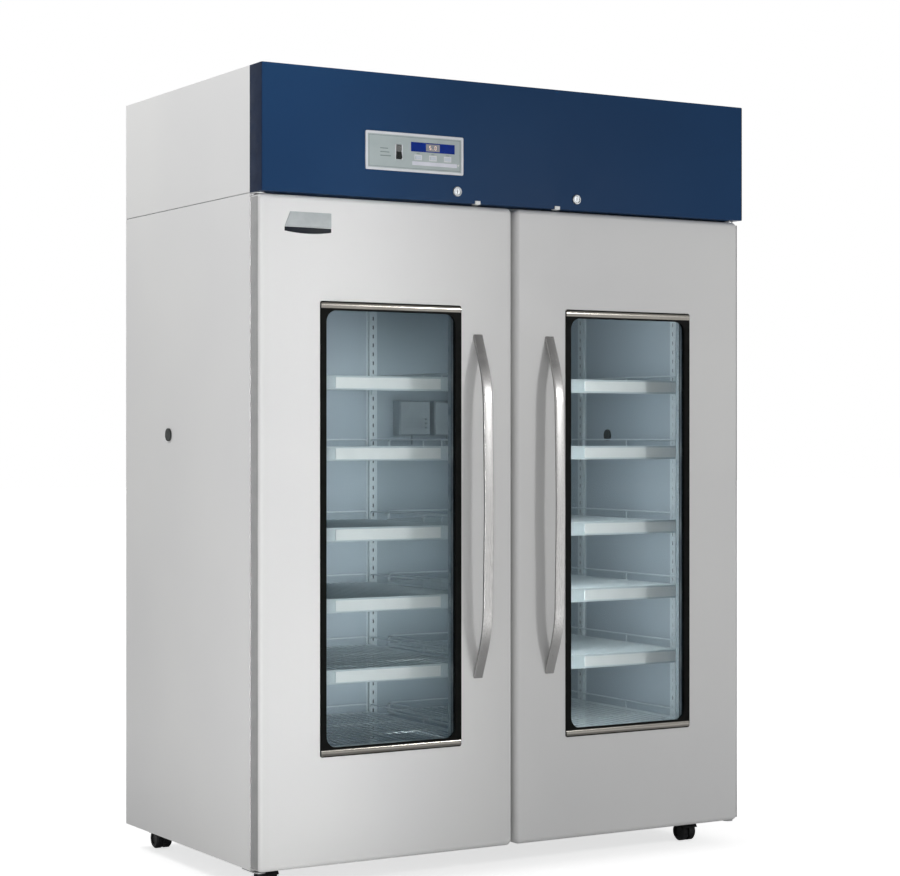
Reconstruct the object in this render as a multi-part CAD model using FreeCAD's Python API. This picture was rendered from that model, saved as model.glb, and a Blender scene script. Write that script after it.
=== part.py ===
import FreeCAD, Part
import math
import os

# Upright two-door pharmacy refrigerator on casters, with a top-mounted cooling unit.
# Millimetres. X runs to the right of the front, Y from the front to the back, Z up.
# The origin is on the floor, in the middle of the overall width and depth.

os.makedirs("parts", exist_ok=True)
Vector = FreeCAD.Vector

# Cabinet
CABINET_WIDTH = 1430.0
SIDE_DEPTH = 755.0
CABINET_HEIGHT = 1915.0
HEADER_HEIGHT = 303.0
CASTER_HEIGHT = 65.0
WALL = 60.0
SHEET = 1.0
BASE_SHEET = 1.5
FRONT_RETURN = 25.0
REAR_RETURN = 15.0
BASE_FLANGE = 20.0
LINER_RADIUS = 20.0
SEAM_GAP = 2.0
MULLION_WIDTH = 70.0
MULLION_STEP = 12.0
MULLION_DEPTH = 50.0
MULLION_SPINE_WIDTH = 44.0

# Header fascia
HEADER_PROUD = 65.0
HEADER_SHEET = 1.5
HEADER_EDGE_RADIUS = 4.0
HEADER_LIP_NOTCH = 5.0

# Doors
DOOR_PROUD = 48.0
DOOR_THICKNESS = 42.0
DOOR_TOP_GAP = 4.0
DOOR_BOTTOM_GAP = 1.0
DOOR_CENTER_GAP = 10.0
DOOR_EDGE_RADIUS = 12.0
DOOR_CORNER_RADIUS = 14.0
DOOR_BACK_RADIUS = 6.0
DOOR_SKIN = 1.2
FOAM_HOLE_RADIUS = 6.0
WINDOW_WIDTH = 396.0
WINDOW_HEIGHT = 1096.0
WINDOW_OUTER_MARGIN = 163.0
WINDOW_SILL = 327.0
FRAME_SIDE = 17.0
FRAME_END = 22.0
FRAME_PROUD = 1.5
FRAME_CORNER_RADIUS = 6.0
GLASS_CORNER_RADIUS = 28.0
TRIM_HEIGHT = 16.0
TRIM_DEPTH = 0.8
TRIM_INSET = 2.0
PANE = 4.0
PANE_SPACE = 12.0
GLASS_RECESS = 8.0
SPACER_WIDTH = 8.0
RETAINER_WIDTH = 5.0
GASKET_WIDTH = 18.0
GASKET_OUTER_INSET = 22.0
GASKET_CENTER_INSET = 8.0
GASKET_DART = 4.0
GASKET_DART_DEPTH = 5.0
GASKET_LIP_RADIUS = 2.0

# Hinges
PIVOT_FROM_EDGE = 15.0
PIVOT_FROM_DOOR_FRONT = 26.0
HINGE_PIN_RADIUS = 5.0
HINGE_PIN_LENGTH = 20.0
HINGE_PLATE = 3.0
HINGE_PLATE_WIDTH = 28.0
HINGE_LEG_HEIGHT = 40.0
HINGE_LEG_WIDTH = 60.0
HINGE_FOOT_DEPTH = 45.0
HINGE_WASHER_RADIUS = 8.0
HINGE_BLOCK_MARGIN = 9.0

# Handles
HANDLE_CENTER = 107.0
HANDLE_BOTTOM = 488.0
HANDLE_LENGTH = 870.0
HANDLE_WIDTH = 27.0
HANDLE_THICKNESS = 9.0
HANDLE_SHOULDER = 49.0
HANDLE_CROWN = 56.0
HANDLE_RISE_LENGTH = 125.0
HANDLE_SHOULDER_RADIUS = 300.0
HANDLE_BOW_RADIUS = 2600.0

# Locks and door sensors
LOCK_X = 178.5
LOCK_ABOVE_HEADER_EDGE = 27.0
LOCK_FLANGE_RADIUS = 12.5
LOCK_BARREL_RADIUS = 10.0
LOCK_CYLINDER_RADIUS = 7.5
LOCK_PROUD = 2.5
LOCK_NUT_ACROSS = 26.0
LOCK_NUT_THICKNESS = 3.5
CAM_REACH = 43.0
CAM_WIDTH = 14.0
CAM_THICKNESS = 3.0
CAM_SLOT_DEPTH = 14.0
SENSOR_X = 119.0
SENSOR_WIDTH = 15.0
SENSOR_RISE = 7.0
SENSOR_THICKNESS = 2.2

# Control panel
PANEL_LEFT = -438.0
PANEL_WIDTH = 276.0
PANEL_HEIGHT = 94.0
PANEL_ABOVE_HEADER_EDGE = 67.0
PANEL_PROUD = 3.0
PANEL_RIM = 6.0
PANEL_RIM_RISE = 1.0
PANEL_FACE = 2.5
PANEL_TUB_DEPTH = 16.0
PANEL_TUB_WALL = 2.0
PANEL_CORNER_RADIUS = 4.0
DISPLAY_RIGHT_MARGIN = 24.0
DISPLAY_TOP_MARGIN = 19.5
DISPLAY_WIDTH = 126.0
DISPLAY_HEIGHT = 24.0
DISPLAY_FLANGE = 3.0
ROCKER_LEFT_MARGIN = 85.0
ROCKER_WIDTH = 16.0
ROCKER_HEIGHT = 36.0
ROCKER_TILT = 8.0
ROCKER_PIVOT_DEPTH = 7.0
ROCKER_PIN_RADIUS = 2.0
KEY_PITCH = 42.0
KEY_WIDTH = 16.0
KEY_HEIGHT = 8.0
KEY_BELOW_DISPLAY = 13.5
KEY_TRAVEL = 1.0
KEY_FLANGE = 1.5
KEY_PROUD = 1.0
BOARD_THICKNESS = 1.6

# Shelves
SHELF_LEVELS = (317.5, 505.0, 680.0, 855.0, 1055.0, 1230.0)
SHELF_SETBACK = 60.0
SHELF_REAR_GAP = 35.0
SHELF_SIDE_GAP = 15.0
SHELF_CENTER_GAP = 25.0
SHELF_BAR = 8.0
SHELF_WIRE = 5.0
SHELF_WIRE_COUNT = 9
SHELF_DECK_ABOVE = 14.0
APRON_HEIGHT = 36.0
APRON_SHEET = 1.5
APRON_LIP = 3.0
APRON_LIP_DEPTH = 2.5
LABEL_LENGTH = 300.0
LEFT_LABEL_CENTER = -302.0
RIGHT_LABEL_CENTER = 440.0
GUARD_HEIGHT = 22.0
GUARD_WIRE = 4.0
GUARD_POSTS = 3
PILASTER_WIDTH = 24.0
PILASTER_DEPTH = 10.0
PILASTER_LIP = 5.0
PILASTER_SHEET = 1.2
PILASTER_FRONT = 150.0
PILASTER_REAR = 600.0
CLIP_WIDTH = 14.0
CLIP_THICKNESS = 3.0
CLIP_HEIGHT = 22.0
LAMP_WIDTH = 14.0
LAMP_DEPTH = 12.0
LAMP_END_GAP = 90.0

# Access ports in the side walls
PORT_DEPTH = 473.0
PORT_HEIGHT = 1102.0
PORT_RADIUS = 13.0
PLUG_FLANGE_RADIUS = 16.5
PLUG_FLANGE = 4.0
PLUG_SHANK = 22.0
PLUG_CLEARANCE = 0.05

# Casters
CASTER_SIDE_INSET = 82.0
CASTER_FRONT = 62.0
CASTER_REAR_INSET = 65.0
CASTER_PLATE = 64.0
CASTER_PLATE_THICKNESS = 3.0
WHEEL_RADIUS = 25.0
WHEEL_WIDTH = 18.0
WHEEL_TRAIL = 20.0
WHEEL_CHAMFER = 4.0
WHEEL_AXLE_RADIUS = 3.0
CASTER_WEB = 8.0
KINGPIN_RADIUS = 5.0
KINGPIN_LENGTH = 9.0
CASTER_HOOD = 3.0

# Cooling unit
COMPRESSOR_X = 420.0
COMPRESSOR_DEPTH = 330.0
COMPRESSOR_RADIUS = 78.0
COMPRESSOR_HEIGHT = 185.0
COMPRESSOR_DOME = 40.0
COMPRESSOR_FOOT = 22.0
GROMMET_RADIUS = 9.0
GROMMET_SPAN = 84.0
TERMINAL_WIDTH = 70.0
TERMINAL_LOW = 40.0
TERMINAL_HEIGHT = 55.0
TERMINAL_PROUD = 30.0
CONDENSER_X = -60.0
CONDENSER_DEPTH = 600.0
CONDENSER_WIDTH = 420.0
CONDENSER_HEIGHT = 220.0
CONDENSER_THICKNESS = 66.0
CONDENSER_RAISE = 14.0
FAN_RADIUS = 96.0
FAN_RING = 4.0
FAN_TIP_GAP = 4.0
FAN_HUB_RADIUS = 26.0
FAN_HUB_LENGTH = 24.0
FAN_SHAFT_RADIUS = 3.0
FAN_BLADES = 5
FAN_BLADE_THICKNESS = 2.5
FAN_ROOT_PITCH = 42.0
FAN_TIP_PITCH = 24.0
FAN_MOTOR_RADIUS = 32.0
FAN_MOTOR_LENGTH = 42.0
FAN_ARM = 8.0
SHROUD_SHEET = 2.0
SHROUD_DEPTH = 30.0
COIL_FIN = 3.0
COIL_FIN_PITCH = 28.0
COIL_CORE_INSET = 8.0
COIL_TUBE_RADIUS = 5.0
COIL_BEND_RADIUS = 13.0
CONDENSER_ROWS = 3
EVAPORATOR_ROWS = 2
PIPE_RADIUS = 4.0
PIPE_BEND = 18.0
DISCHARGE_RISE = 140.0
SUCTION_RISE = 60.0
DRIER_OFFSET = 50.0
DRIER_RADIUS = 11.0
DRIER_LENGTH = 110.0
ELECTRIC_BOX_WIDTH = 200.0
ELECTRIC_BOX_DEPTH = 190.0
ELECTRIC_BOX_HEIGHT = 110.0
ELECTRIC_BOX_X = -540.0
ELECTRIC_BOX_FRONT = 90.0
LINE_HOLE_X = 390.0
LINE_HOLE_DEPTH = 520.0
LINE_HOLE_RADIUS = 22.0
LOUVRE_PROUD = 10.0
LOUVRE_HEIGHT = 16.0
LOUVRE_PITCH = 36.0
LOUVRE_ROWS = 5
LOUVRE_LENGTH = 560.0
LOUVRE_COLUMN_PITCH = 640.0
LOUVRE_TOP_MARGIN = 50.0
VENT_SLOTS = 10
VENT_SLOT_WIDTH = 10.0
VENT_SLOT_LENGTH = 180.0
EVAPORATOR_WIDTH = 900.0
EVAPORATOR_COVER_DEPTH = 350.0
EVAPORATOR_COVER_HEIGHT = 135.0
EVAPORATOR_REAR_GAP = 4.0
EVAPORATOR_SHEET = 2.0
EVAPORATOR_COIL_WIDTH = 520.0
EVAPORATOR_COIL_DEPTH = 170.0
EVAPORATOR_COIL_HEIGHT = 84.0
EVAPORATOR_FAN_RADIUS = 80.0
EVAPORATOR_FAN_X = -320.0
GLAND_X = 600.0
GLAND_ABOVE_DECK = 40.0
GLAND_RADIUS = 12.0
GLAND_STEM_RADIUS = 9.0
PROBE_BOX_X = 121.0
PROBE_BOX_Z = 1150.0
PROBE_BOX_WIDTH = 100.0
PROBE_BOX_HEIGHT = 98.0
PROBE_BOX_DEPTH = 38.0

# Clearances
FIT = 0.3
RUNNING = 0.05

# Places that follow from the sizes above
HALF_WIDTH = CABINET_WIDTH / 2
HANDLE_BOW_ANGLE = math.atan2(HANDLE_CROWN - HANDLE_SHOULDER,
                              HANDLE_LENGTH / 2 - HANDLE_RISE_LENGTH)
HANDLE_REACH = HANDLE_CROWN - HANDLE_BOW_RADIUS * (1 / math.cos(HANDLE_BOW_ANGLE) - 1)
FRONT = (DOOR_PROUD + HANDLE_REACH - SIDE_DEPTH - LOUVRE_PROUD) / 2
BASE_Z = CASTER_HEIGHT
TOP_Z = BASE_Z + CABINET_HEIGHT
HEADER_Z = TOP_Z - HEADER_HEIGHT
LINER_X = HALF_WIDTH - WALL
LINER_Z0 = BASE_Z + WALL
LINER_Z1 = HEADER_Z - WALL
LINER_BACK = SIDE_DEPTH - WALL
BACK_SKIN = SIDE_DEPTH - 2 * SHEET
DOOR_Z0 = BASE_Z + DOOR_BOTTOM_GAP
DOOR_Z1 = HEADER_Z - DOOR_TOP_GAP
DOOR_FRONT = -DOOR_PROUD
DOOR_BACK = DOOR_FRONT + DOOR_THICKNESS
DOOR_X0 = DOOR_CENTER_GAP / 2
DOOR_X1 = HALF_WIDTH
PIVOT_X = HALF_WIDTH - PIVOT_FROM_EDGE
PIVOT_DEPTH = DOOR_FRONT + PIVOT_FROM_DOOR_FRONT
WINDOW_X1 = DOOR_X1 - WINDOW_OUTER_MARGIN
WINDOW_X0 = WINDOW_X1 - WINDOW_WIDTH
WINDOW_Z1 = WINDOW_SILL + WINDOW_HEIGHT
FRAME_FRONT = DOOR_FRONT - FRAME_PROUD
GLASS_FRONT = FRAME_FRONT + GLASS_RECESS
GLASS_BACK = GLASS_FRONT + 2 * PANE + PANE_SPACE
HEADER_FRONT = -HEADER_PROUD
LOCK_Z = HEADER_Z + LOCK_ABOVE_HEADER_EDGE
CAM_FRONT = (DOOR_FRONT + DOOR_BACK) / 2 - CAM_THICKNESS
PANEL_Z0 = HEADER_Z + PANEL_ABOVE_HEADER_EDGE
PANEL_Z1 = PANEL_Z0 + PANEL_HEIGHT
PANEL_RIGHT = PANEL_LEFT + PANEL_WIDTH
PANEL_FRONT = HEADER_FRONT - PANEL_PROUD
PANEL_FACE_FRONT = PANEL_FRONT + PANEL_RIM_RISE
PANEL_FACE_BACK = PANEL_FACE_FRONT + PANEL_FACE
DISPLAY_X1 = PANEL_RIGHT - DISPLAY_RIGHT_MARGIN
DISPLAY_X0 = DISPLAY_X1 - DISPLAY_WIDTH
DISPLAY_Z1 = PANEL_Z1 - DISPLAY_TOP_MARGIN
DISPLAY_Z0 = DISPLAY_Z1 - DISPLAY_HEIGHT
ROCKER_X = PANEL_LEFT + ROCKER_LEFT_MARGIN + ROCKER_WIDTH / 2
ROCKER_Z = (PANEL_Z0 + PANEL_Z1) / 2
ROCKER_RADIUS = ROCKER_HEIGHT / 2 - 0.5
ROCKER_PIVOT = PANEL_FACE_FRONT + ROCKER_PIVOT_DEPTH
KEY_Z = DISPLAY_Z0 - KEY_BELOW_DISPLAY
KEY_CENTERS = [(DISPLAY_X0 + DISPLAY_X1) / 2 + i * KEY_PITCH for i in (-1, 0, 1)]
KEY_FLANGE_FRONT = PANEL_FACE_BACK + FIT
BOARD_FRONT = KEY_FLANGE_FRONT + KEY_FLANGE + KEY_TRAVEL + 0.4
DECK_Z = HEADER_Z
SHELF_X0 = SHELF_CENTER_GAP
SHELF_X1 = LINER_X - SHELF_SIDE_GAP
SHELF_REAR = LINER_BACK - SHELF_REAR_GAP
APRON_FRONT = SHELF_SETBACK
SHELF_FRAME_FRONT = APRON_FRONT + APRON_SHEET
CASTER_X = HALF_WIDTH - CASTER_SIDE_INSET
CASTER_REAR = SIDE_DEPTH - CASTER_REAR_INSET
WHEEL_AXIS_Z = WHEEL_RADIUS
SWIVEL_TOP_Z = BASE_Z - CASTER_PLATE_THICKNESS
EVAPORATOR_Z0 = LINER_Z1 - EVAPORATOR_COVER_HEIGHT
EVAPORATOR_FRONT = LINER_BACK - LINER_RADIUS - EVAPORATOR_REAR_GAP - EVAPORATOR_COVER_DEPTH


def box(x0, x1, y0, y1, z0, z1):
    """Block between two corners, with Y counted back from the side panels' front edge."""
    return Part.makeBox(x1 - x0, y1 - y0, z1 - z0, Vector(x0, FRONT + y0, z0))


def rod(x, y, z, direction, radius, length):
    """Round bar from a point along a direction."""
    return Part.makeCylinder(radius, length, Vector(x, FRONT + y, z), direction)


ALONG_X = Vector(1, 0, 0)
ALONG_Y = Vector(0, 1, 0)
ALONG_Z = Vector(0, 0, 1)


def polygon_wire(points):
    return Part.makePolygon(points + [points[0]])


def prism_up(points, z0, z1):
    """Outline in plan, (x, y) points, carried upwards."""
    wire = polygon_wire([Vector(x, FRONT + y, z0) for x, y in points])
    return Part.Face(wire).extrude(Vector(0, 0, z1 - z0))


def prism_across(points, x0, x1):
    """Outline seen from the side, (y, z) points, carried along X."""
    wire = polygon_wire([Vector(x0, FRONT + y, z) for y, z in points])
    return Part.Face(wire).extrude(Vector(x1 - x0, 0, 0))


def prism_back(points, y0, y1):
    """Outline seen from the front, (x, z) points, carried along Y."""
    wire = polygon_wire([Vector(x, FRONT + y0, z) for x, z in points])
    return Part.Face(wire).extrude(Vector(0, y1 - y0, 0))


def hexagon(x, z, across):
    """Corner points (x, z) of a hexagon, from its width across the flats."""
    reach = across / math.sqrt(3)
    return [(x + reach * math.cos(math.radians(60 * i)), z + reach * math.sin(math.radians(60 * i)))
            for i in range(6)]


def turned(x, y, z, profile):
    """Solid turned about a line along Y from (radius, y) points of its section."""
    wire = polygon_wire([Vector(x + radius, FRONT + y + along, z) for radius, along in profile])
    return Part.Face(wire).revolve(Vector(x, FRONT + y, z), ALONG_Y, 360)


def fuse(shapes):
    result = shapes[0].multiFuse(shapes[1:]) if len(shapes) > 1 else shapes[0]
    return result.removeSplitter()


def rounded(shape, radius, keep_edge):
    """Rounds the edges that keep_edge picks by their middle and direction."""
    edges = []
    for edge in shape.Edges:
        middle = edge.CenterOfMass
        along = edge.Vertexes[-1].Point - edge.Vertexes[0].Point
        if keep_edge(middle.x, middle.y - FRONT, middle.z, along):
            edges.append(edge)
    return shape.makeFillet(radius, edges)


def is_along(direction, axis):
    return abs(direction.normalize().dot(axis)) > 0.99


def mirrored(shape):
    return shape.mirror(Vector(0, 0, 0), ALONG_X)


def rounded_path(points, radii):
    """Edges of an open line in 3D whose inner corners are tangent arcs."""
    edges = []
    start = points[0]
    for corner, after, radius in zip(points[1:-1], points[2:], radii):
        before = (start - corner).normalize()
        ahead = (after - corner).normalize()
        half_angle = before.getAngle(ahead) / 2
        reach = radius / math.tan(half_angle)
        enter = corner + before * reach
        leave = corner + ahead * reach
        bisector = (before + ahead).normalize()
        middle = corner + bisector * (radius / math.sin(half_angle) - radius)
        edges.append(Part.LineSegment(start, enter).toShape())
        edges.append(Part.Arc(enter, middle, leave).toShape())
        start = leave
    edges.append(Part.LineSegment(start, points[-1]).toShape())
    return edges


def tube(points, radius, bend):
    """Pipe of straight runs and equal bends, Y counted from the side panels' front edge."""
    corners = [Vector(x, FRONT + y, z) for x, y, z in points]
    runs = []
    start = corners[0]
    for corner, after in zip(corners[1:-1], corners[2:]):
        before = (start - corner).normalize()
        ahead = (after - corner).normalize()
        half_angle = before.getAngle(ahead) / 2
        enter = corner + before * (bend / math.tan(half_angle))
        leave = corner + ahead * (bend / math.tan(half_angle))
        center = corner + (before + ahead).normalize() * (bend / math.sin(half_angle))
        runs.append(Part.makeCylinder(radius, (enter - start).Length, start, enter - start))
        disc = Part.Face(Part.Wire(Part.makeCircle(radius, enter, before)))
        turn = 180 - math.degrees(2 * half_angle)
        runs.append(disc.revolve(center, (enter - center).cross(leave - center), turn))
        start = leave
    runs.append(Part.makeCylinder(radius, (corners[-1] - start).Length, start,
                                  corners[-1] - start))
    return fuse(runs)


def save(name, solids):
    """Writes one sub-part, as one solid or as a group of like solids."""
    shape = Part.makeCompound(solids) if len(solids) > 1 else solids[0]
    shape.exportStep("parts/" + name + ".step")


# Outer cabinet

def side_panel(z0, z1):
    """Left outer sheet, bent inwards at its front and rear edges."""
    x = -HALF_WIDTH
    panel = prism_up([
        (x, 0), (x + FRONT_RETURN, 0), (x + FRONT_RETURN, SHEET), (x + SHEET, SHEET),
        (x + SHEET, SIDE_DEPTH - SHEET), (x + REAR_RETURN, SIDE_DEPTH - SHEET),
        (x + REAR_RETURN, SIDE_DEPTH), (x, SIDE_DEPTH)], z0, z1)
    port = rod(x - SHEET, PORT_DEPTH, PORT_HEIGHT, ALONG_X, PORT_RADIUS, 3 * SHEET)
    return panel.cut(port)


def side_panels():
    lower = side_panel(BASE_Z, HEADER_Z - SEAM_GAP / 2)
    upper = side_panel(HEADER_Z + SEAM_GAP / 2, TOP_Z)
    return [lower, upper, mirrored(lower), mirrored(upper)]


def back_panel():
    x = HALF_WIDTH - SHEET
    return box(-x, x, BACK_SKIN, BACK_SKIN + SHEET, BASE_Z, HEADER_Z)


def base_pan():
    """Bottom sheet with an upturned flange across the front."""
    x = HALF_WIDTH - SHEET
    flange_x = HALF_WIDTH - FRONT_RETURN
    floor = box(-x, x, SHEET, BACK_SKIN, BASE_Z, BASE_Z + BASE_SHEET)
    flange = box(-flange_x, flange_x, 0, BASE_SHEET, BASE_Z, BASE_Z + BASE_FLANGE)
    return fuse([floor, flange])


def line_hole():
    """Passage for the refrigerant lines from the machine bay to the evaporator."""
    return rod(LINE_HOLE_X, LINE_HOLE_DEPTH, LINER_Z1 - 2 * SHEET, ALONG_Z, LINE_HOLE_RADIUS,
               WALL + 4 * SHEET)


def insulation_boards():
    """Foam floor, ceiling, back and side boards, butted into an open-fronted box."""
    x = HALF_WIDTH - SHEET
    cavity_x = LINER_X + SHEET
    floor_top = LINER_Z0 - SHEET
    ceiling_under = LINER_Z1 + SHEET
    floor = box(-x, x, BASE_SHEET, BACK_SKIN, BASE_Z + BASE_SHEET, floor_top)
    ceiling = box(-x, x, BASE_SHEET, BACK_SKIN, ceiling_under, DECK_Z - BASE_SHEET)
    ceiling = ceiling.cut(line_hole())
    back = box(-cavity_x, cavity_x, LINER_BACK + SHEET, BACK_SKIN, floor_top, ceiling_under)
    side = box(-x, -cavity_x, BASE_SHEET, BACK_SKIN, floor_top, ceiling_under)
    side = side.cut(rod(-x, PORT_DEPTH, PORT_HEIGHT, ALONG_X, PORT_RADIUS, WALL))
    return [floor, ceiling, back, side, mirrored(side)]


def inner_liner():
    """Thin tub with rounded inside corners and a flat flange round its open front."""
    def tub(grow, front, radius):
        block = box(-LINER_X - grow, LINER_X + grow, front, LINER_BACK + grow,
                    LINER_Z0 - grow, LINER_Z1 + grow)
        return rounded(block, radius, lambda x, y, z, along: y > front + 1)

    flange_x = HALF_WIDTH - FRONT_RETURN
    flange = box(-flange_x, flange_x, 0, SHEET, BASE_Z + BASE_FLANGE, DECK_Z - BASE_SHEET)
    shell = fuse([tub(SHEET, 0, LINER_RADIUS + SHEET), flange])
    shell = shell.cut(tub(0, -SHEET, LINER_RADIUS))
    ports = rod(-HALF_WIDTH, PORT_DEPTH, PORT_HEIGHT, ALONG_X, PORT_RADIUS, CABINET_WIDTH)
    return shell.cut([ports, line_hole()])


def center_mullion():
    """Upright post that both doors close against, with steps for the lamps behind."""
    wide = MULLION_WIDTH / 2
    narrow = MULLION_SPINE_WIDTH / 2
    return prism_up([
        (-wide, 0), (wide, 0), (wide, MULLION_STEP), (narrow, MULLION_STEP),
        (narrow, MULLION_DEPTH), (-narrow, MULLION_DEPTH), (-narrow, MULLION_STEP),
        (-wide, MULLION_STEP)], LINER_Z0, LINER_Z1)


def deck_plate():
    """Sheet on top of the insulated box that carries the cooling unit."""
    x = HALF_WIDTH - SHEET
    deck = box(-x, x, SHEET, BACK_SKIN, DECK_Z - BASE_SHEET, DECK_Z)
    return deck.cut(line_hole())


def louvre(x0, x1, top):
    """Sloped hood over one slot, and the hollow that opens it downwards through the sheet."""
    skin = BACK_SKIN + SHEET / 2
    outer = SIDE_DEPTH + LOUVRE_PROUD
    low = top - LOUVRE_HEIGHT
    middle = top - LOUVRE_HEIGHT / 2
    hood = prism_across([(skin, top), (outer, middle), (outer, low), (skin, low)], x0, x1)
    t = SHEET
    hollow = prism_across([
        (BACK_SKIN - t, top - 3 * t), (skin, top - 3 * t), (outer - t, middle - t),
        (outer - t, low - t), (SIDE_DEPTH - t, low - t), (SIDE_DEPTH - t, low + t),
        (BACK_SKIN - t, low + t)], x0 + t, x1 - t)
    return hood, hollow


def rear_grille():
    """Removable rear sheet of the machine bay, pressed into rows of louvres."""
    x = HALF_WIDTH - SHEET
    pieces = [box(-x, x, BACK_SKIN, BACK_SKIN + SHEET, HEADER_Z, TOP_Z - BASE_SHEET)]
    hollows = [rod(GLAND_X, BACK_SKIN - SHEET, DECK_Z + GLAND_ABOVE_DECK, ALONG_Y,
                   GLAND_STEM_RADIUS + RUNNING, 4 * SHEET)]
    for side in (-1, 1):
        x0 = (side * LOUVRE_COLUMN_PITCH - LOUVRE_LENGTH) / 2
        for row in range(LOUVRE_ROWS):
            top = TOP_Z - LOUVRE_TOP_MARGIN - row * LOUVRE_PITCH
            hood, hollow = louvre(x0, x0 + LOUVRE_LENGTH, top)
            pieces.append(hood)
            hollows.append(hollow)
    return fuse(pieces).cut(hollows)


def top_cover():
    """Lid over the machine bay with folded sides and a field of vent slots."""
    x = HALF_WIDTH - SHEET
    lid = box(-x, x, SHEET, BACK_SKIN + SHEET, TOP_Z - BASE_SHEET, TOP_Z)
    flange = box(-x, -x + BASE_SHEET, SHEET, BACK_SKIN, TOP_Z - BASE_FLANGE, TOP_Z)
    lid = fuse([lid, flange, mirrored(flange)])
    slots = []
    pitch = 2 * VENT_SLOT_WIDTH
    for index in range(VENT_SLOTS):
        x0 = CONDENSER_X + (index - VENT_SLOTS / 2) * pitch
        for y0 in (CONDENSER_DEPTH - 2.4 * VENT_SLOT_LENGTH, CONDENSER_DEPTH - 1.2 * VENT_SLOT_LENGTH):
            slots.append(box(x0, x0 + VENT_SLOT_WIDTH, y0, y0 + VENT_SLOT_LENGTH,
                             TOP_Z - 2 * BASE_SHEET, TOP_Z + SHEET))
    return lid.cut(slots)


# Header with its controls and locks

def header_fascia():
    """Deep folded front cover, open at the back, with holes for the controls and locks."""
    x = HALF_WIDTH
    t = HEADER_SHEET
    shell = box(-x, x, HEADER_FRONT, 0, HEADER_Z, TOP_Z)
    shell = rounded(shell, HEADER_EDGE_RADIUS,
                    lambda ex, ey, ez, along: ey < HEADER_FRONT + 1 and is_along(along, ALONG_Z))
    inside = box(-x + t, x - t, HEADER_FRONT + t, SHEET, HEADER_Z + t, TOP_Z - t)
    notch = box(-x + t, x - t, -HEADER_LIP_NOTCH, SHEET, HEADER_Z - t, HEADER_Z + 2 * t)
    window = box(PANEL_LEFT + PANEL_RIM, PANEL_RIGHT - PANEL_RIM, HEADER_FRONT - t,
                 HEADER_FRONT + 2 * t, PANEL_Z0 + PANEL_RIM, PANEL_Z1 - PANEL_RIM)
    cuts = [inside, notch, window]
    for side in (-1, 1):
        cuts.append(rod(side * LOCK_X, HEADER_FRONT - t, LOCK_Z, ALONG_Y,
                        LOCK_BARREL_RADIUS + FIT, 4 * t))
        cuts.append(cam_slot(side, HEADER_Z - t, HEADER_Z + 2 * t))
    return shell.cut(cuts)


def cam_slot(side, z0, z1, grow=0):
    """Slot that a turning lock cam sweeps through between two heights."""
    drop = LOCK_Z - z1
    sweep = math.sqrt(CAM_REACH ** 2 - drop ** 2) + CAM_WIDTH / 2 + grow
    inner = CAM_WIDTH / 2 + 2 + grow
    x0, x1 = sorted((side * (LOCK_X - inner), side * (LOCK_X + sweep)))
    play = 1.5 + grow
    return box(x0, x1, CAM_FRONT - play, CAM_FRONT + CAM_THICKNESS + play, z0, z1)


def panel_hole(x0, x1, z0, z1):
    return box(x0, x1, PANEL_FRONT - 1, PANEL_FACE_BACK + 1, z0, z1)


def control_bezel():
    """Raised rim, face plate and the tub behind it, with the switch well and key holes."""
    flange = box(PANEL_LEFT, PANEL_RIGHT, PANEL_FRONT, HEADER_FRONT, PANEL_Z0, PANEL_Z1)
    flange = rounded(flange, PANEL_CORNER_RADIUS, lambda x, y, z, along: is_along(along, ALONG_Y))
    r = PANEL_RIM
    face_pocket = box(PANEL_LEFT + r, PANEL_RIGHT - r, PANEL_FRONT - 1, PANEL_FACE_FRONT,
                      PANEL_Z0 + r, PANEL_Z1 - r)
    tub_x0 = PANEL_LEFT + r + FIT
    tub_x1 = PANEL_RIGHT - r - FIT
    tub_z0 = PANEL_Z0 + r + FIT
    tub_z1 = PANEL_Z1 - r - FIT
    tub = box(tub_x0, tub_x1, HEADER_FRONT - SHEET / 2, HEADER_FRONT + PANEL_TUB_DEPTH,
              tub_z0, tub_z1)
    w = PANEL_TUB_WALL
    hollow = box(tub_x0 + w, tub_x1 - w, PANEL_FACE_BACK, HEADER_FRONT + PANEL_TUB_DEPTH + 1,
                 tub_z0 + w, tub_z1 - w)
    well_x = ROCKER_WIDTH / 2 + w
    well_z = ROCKER_HEIGHT / 2 + w
    well = box(ROCKER_X - well_x, ROCKER_X + well_x, PANEL_FACE_FRONT,
               HEADER_FRONT + PANEL_TUB_DEPTH, ROCKER_Z - well_z, ROCKER_Z + well_z)
    well_hole = box(ROCKER_X - ROCKER_WIDTH / 2, ROCKER_X + ROCKER_WIDTH / 2, PANEL_FRONT - 1,
                    HEADER_FRONT + PANEL_TUB_DEPTH + 1, ROCKER_Z - ROCKER_HEIGHT / 2,
                    ROCKER_Z + ROCKER_HEIGHT / 2)
    pivots = rod(ROCKER_X - well_x - 1, ROCKER_PIVOT, ROCKER_Z, ALONG_X,
                 ROCKER_PIN_RADIUS + RUNNING, 2 * well_x + 2)
    body = fuse([flange.cut(face_pocket), tub]).cut(hollow)
    cuts = [well_hole, pivots, panel_hole(DISPLAY_X0, DISPLAY_X1, DISPLAY_Z0, DISPLAY_Z1)]
    for x in KEY_CENTERS:
        cuts.append(panel_hole(x - KEY_WIDTH / 2 - FIT, x + KEY_WIDTH / 2 + FIT,
                               KEY_Z - KEY_HEIGHT / 2 - FIT, KEY_Z + KEY_HEIGHT / 2 + FIT))
    return fuse([body, well]).cut(cuts)


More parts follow.
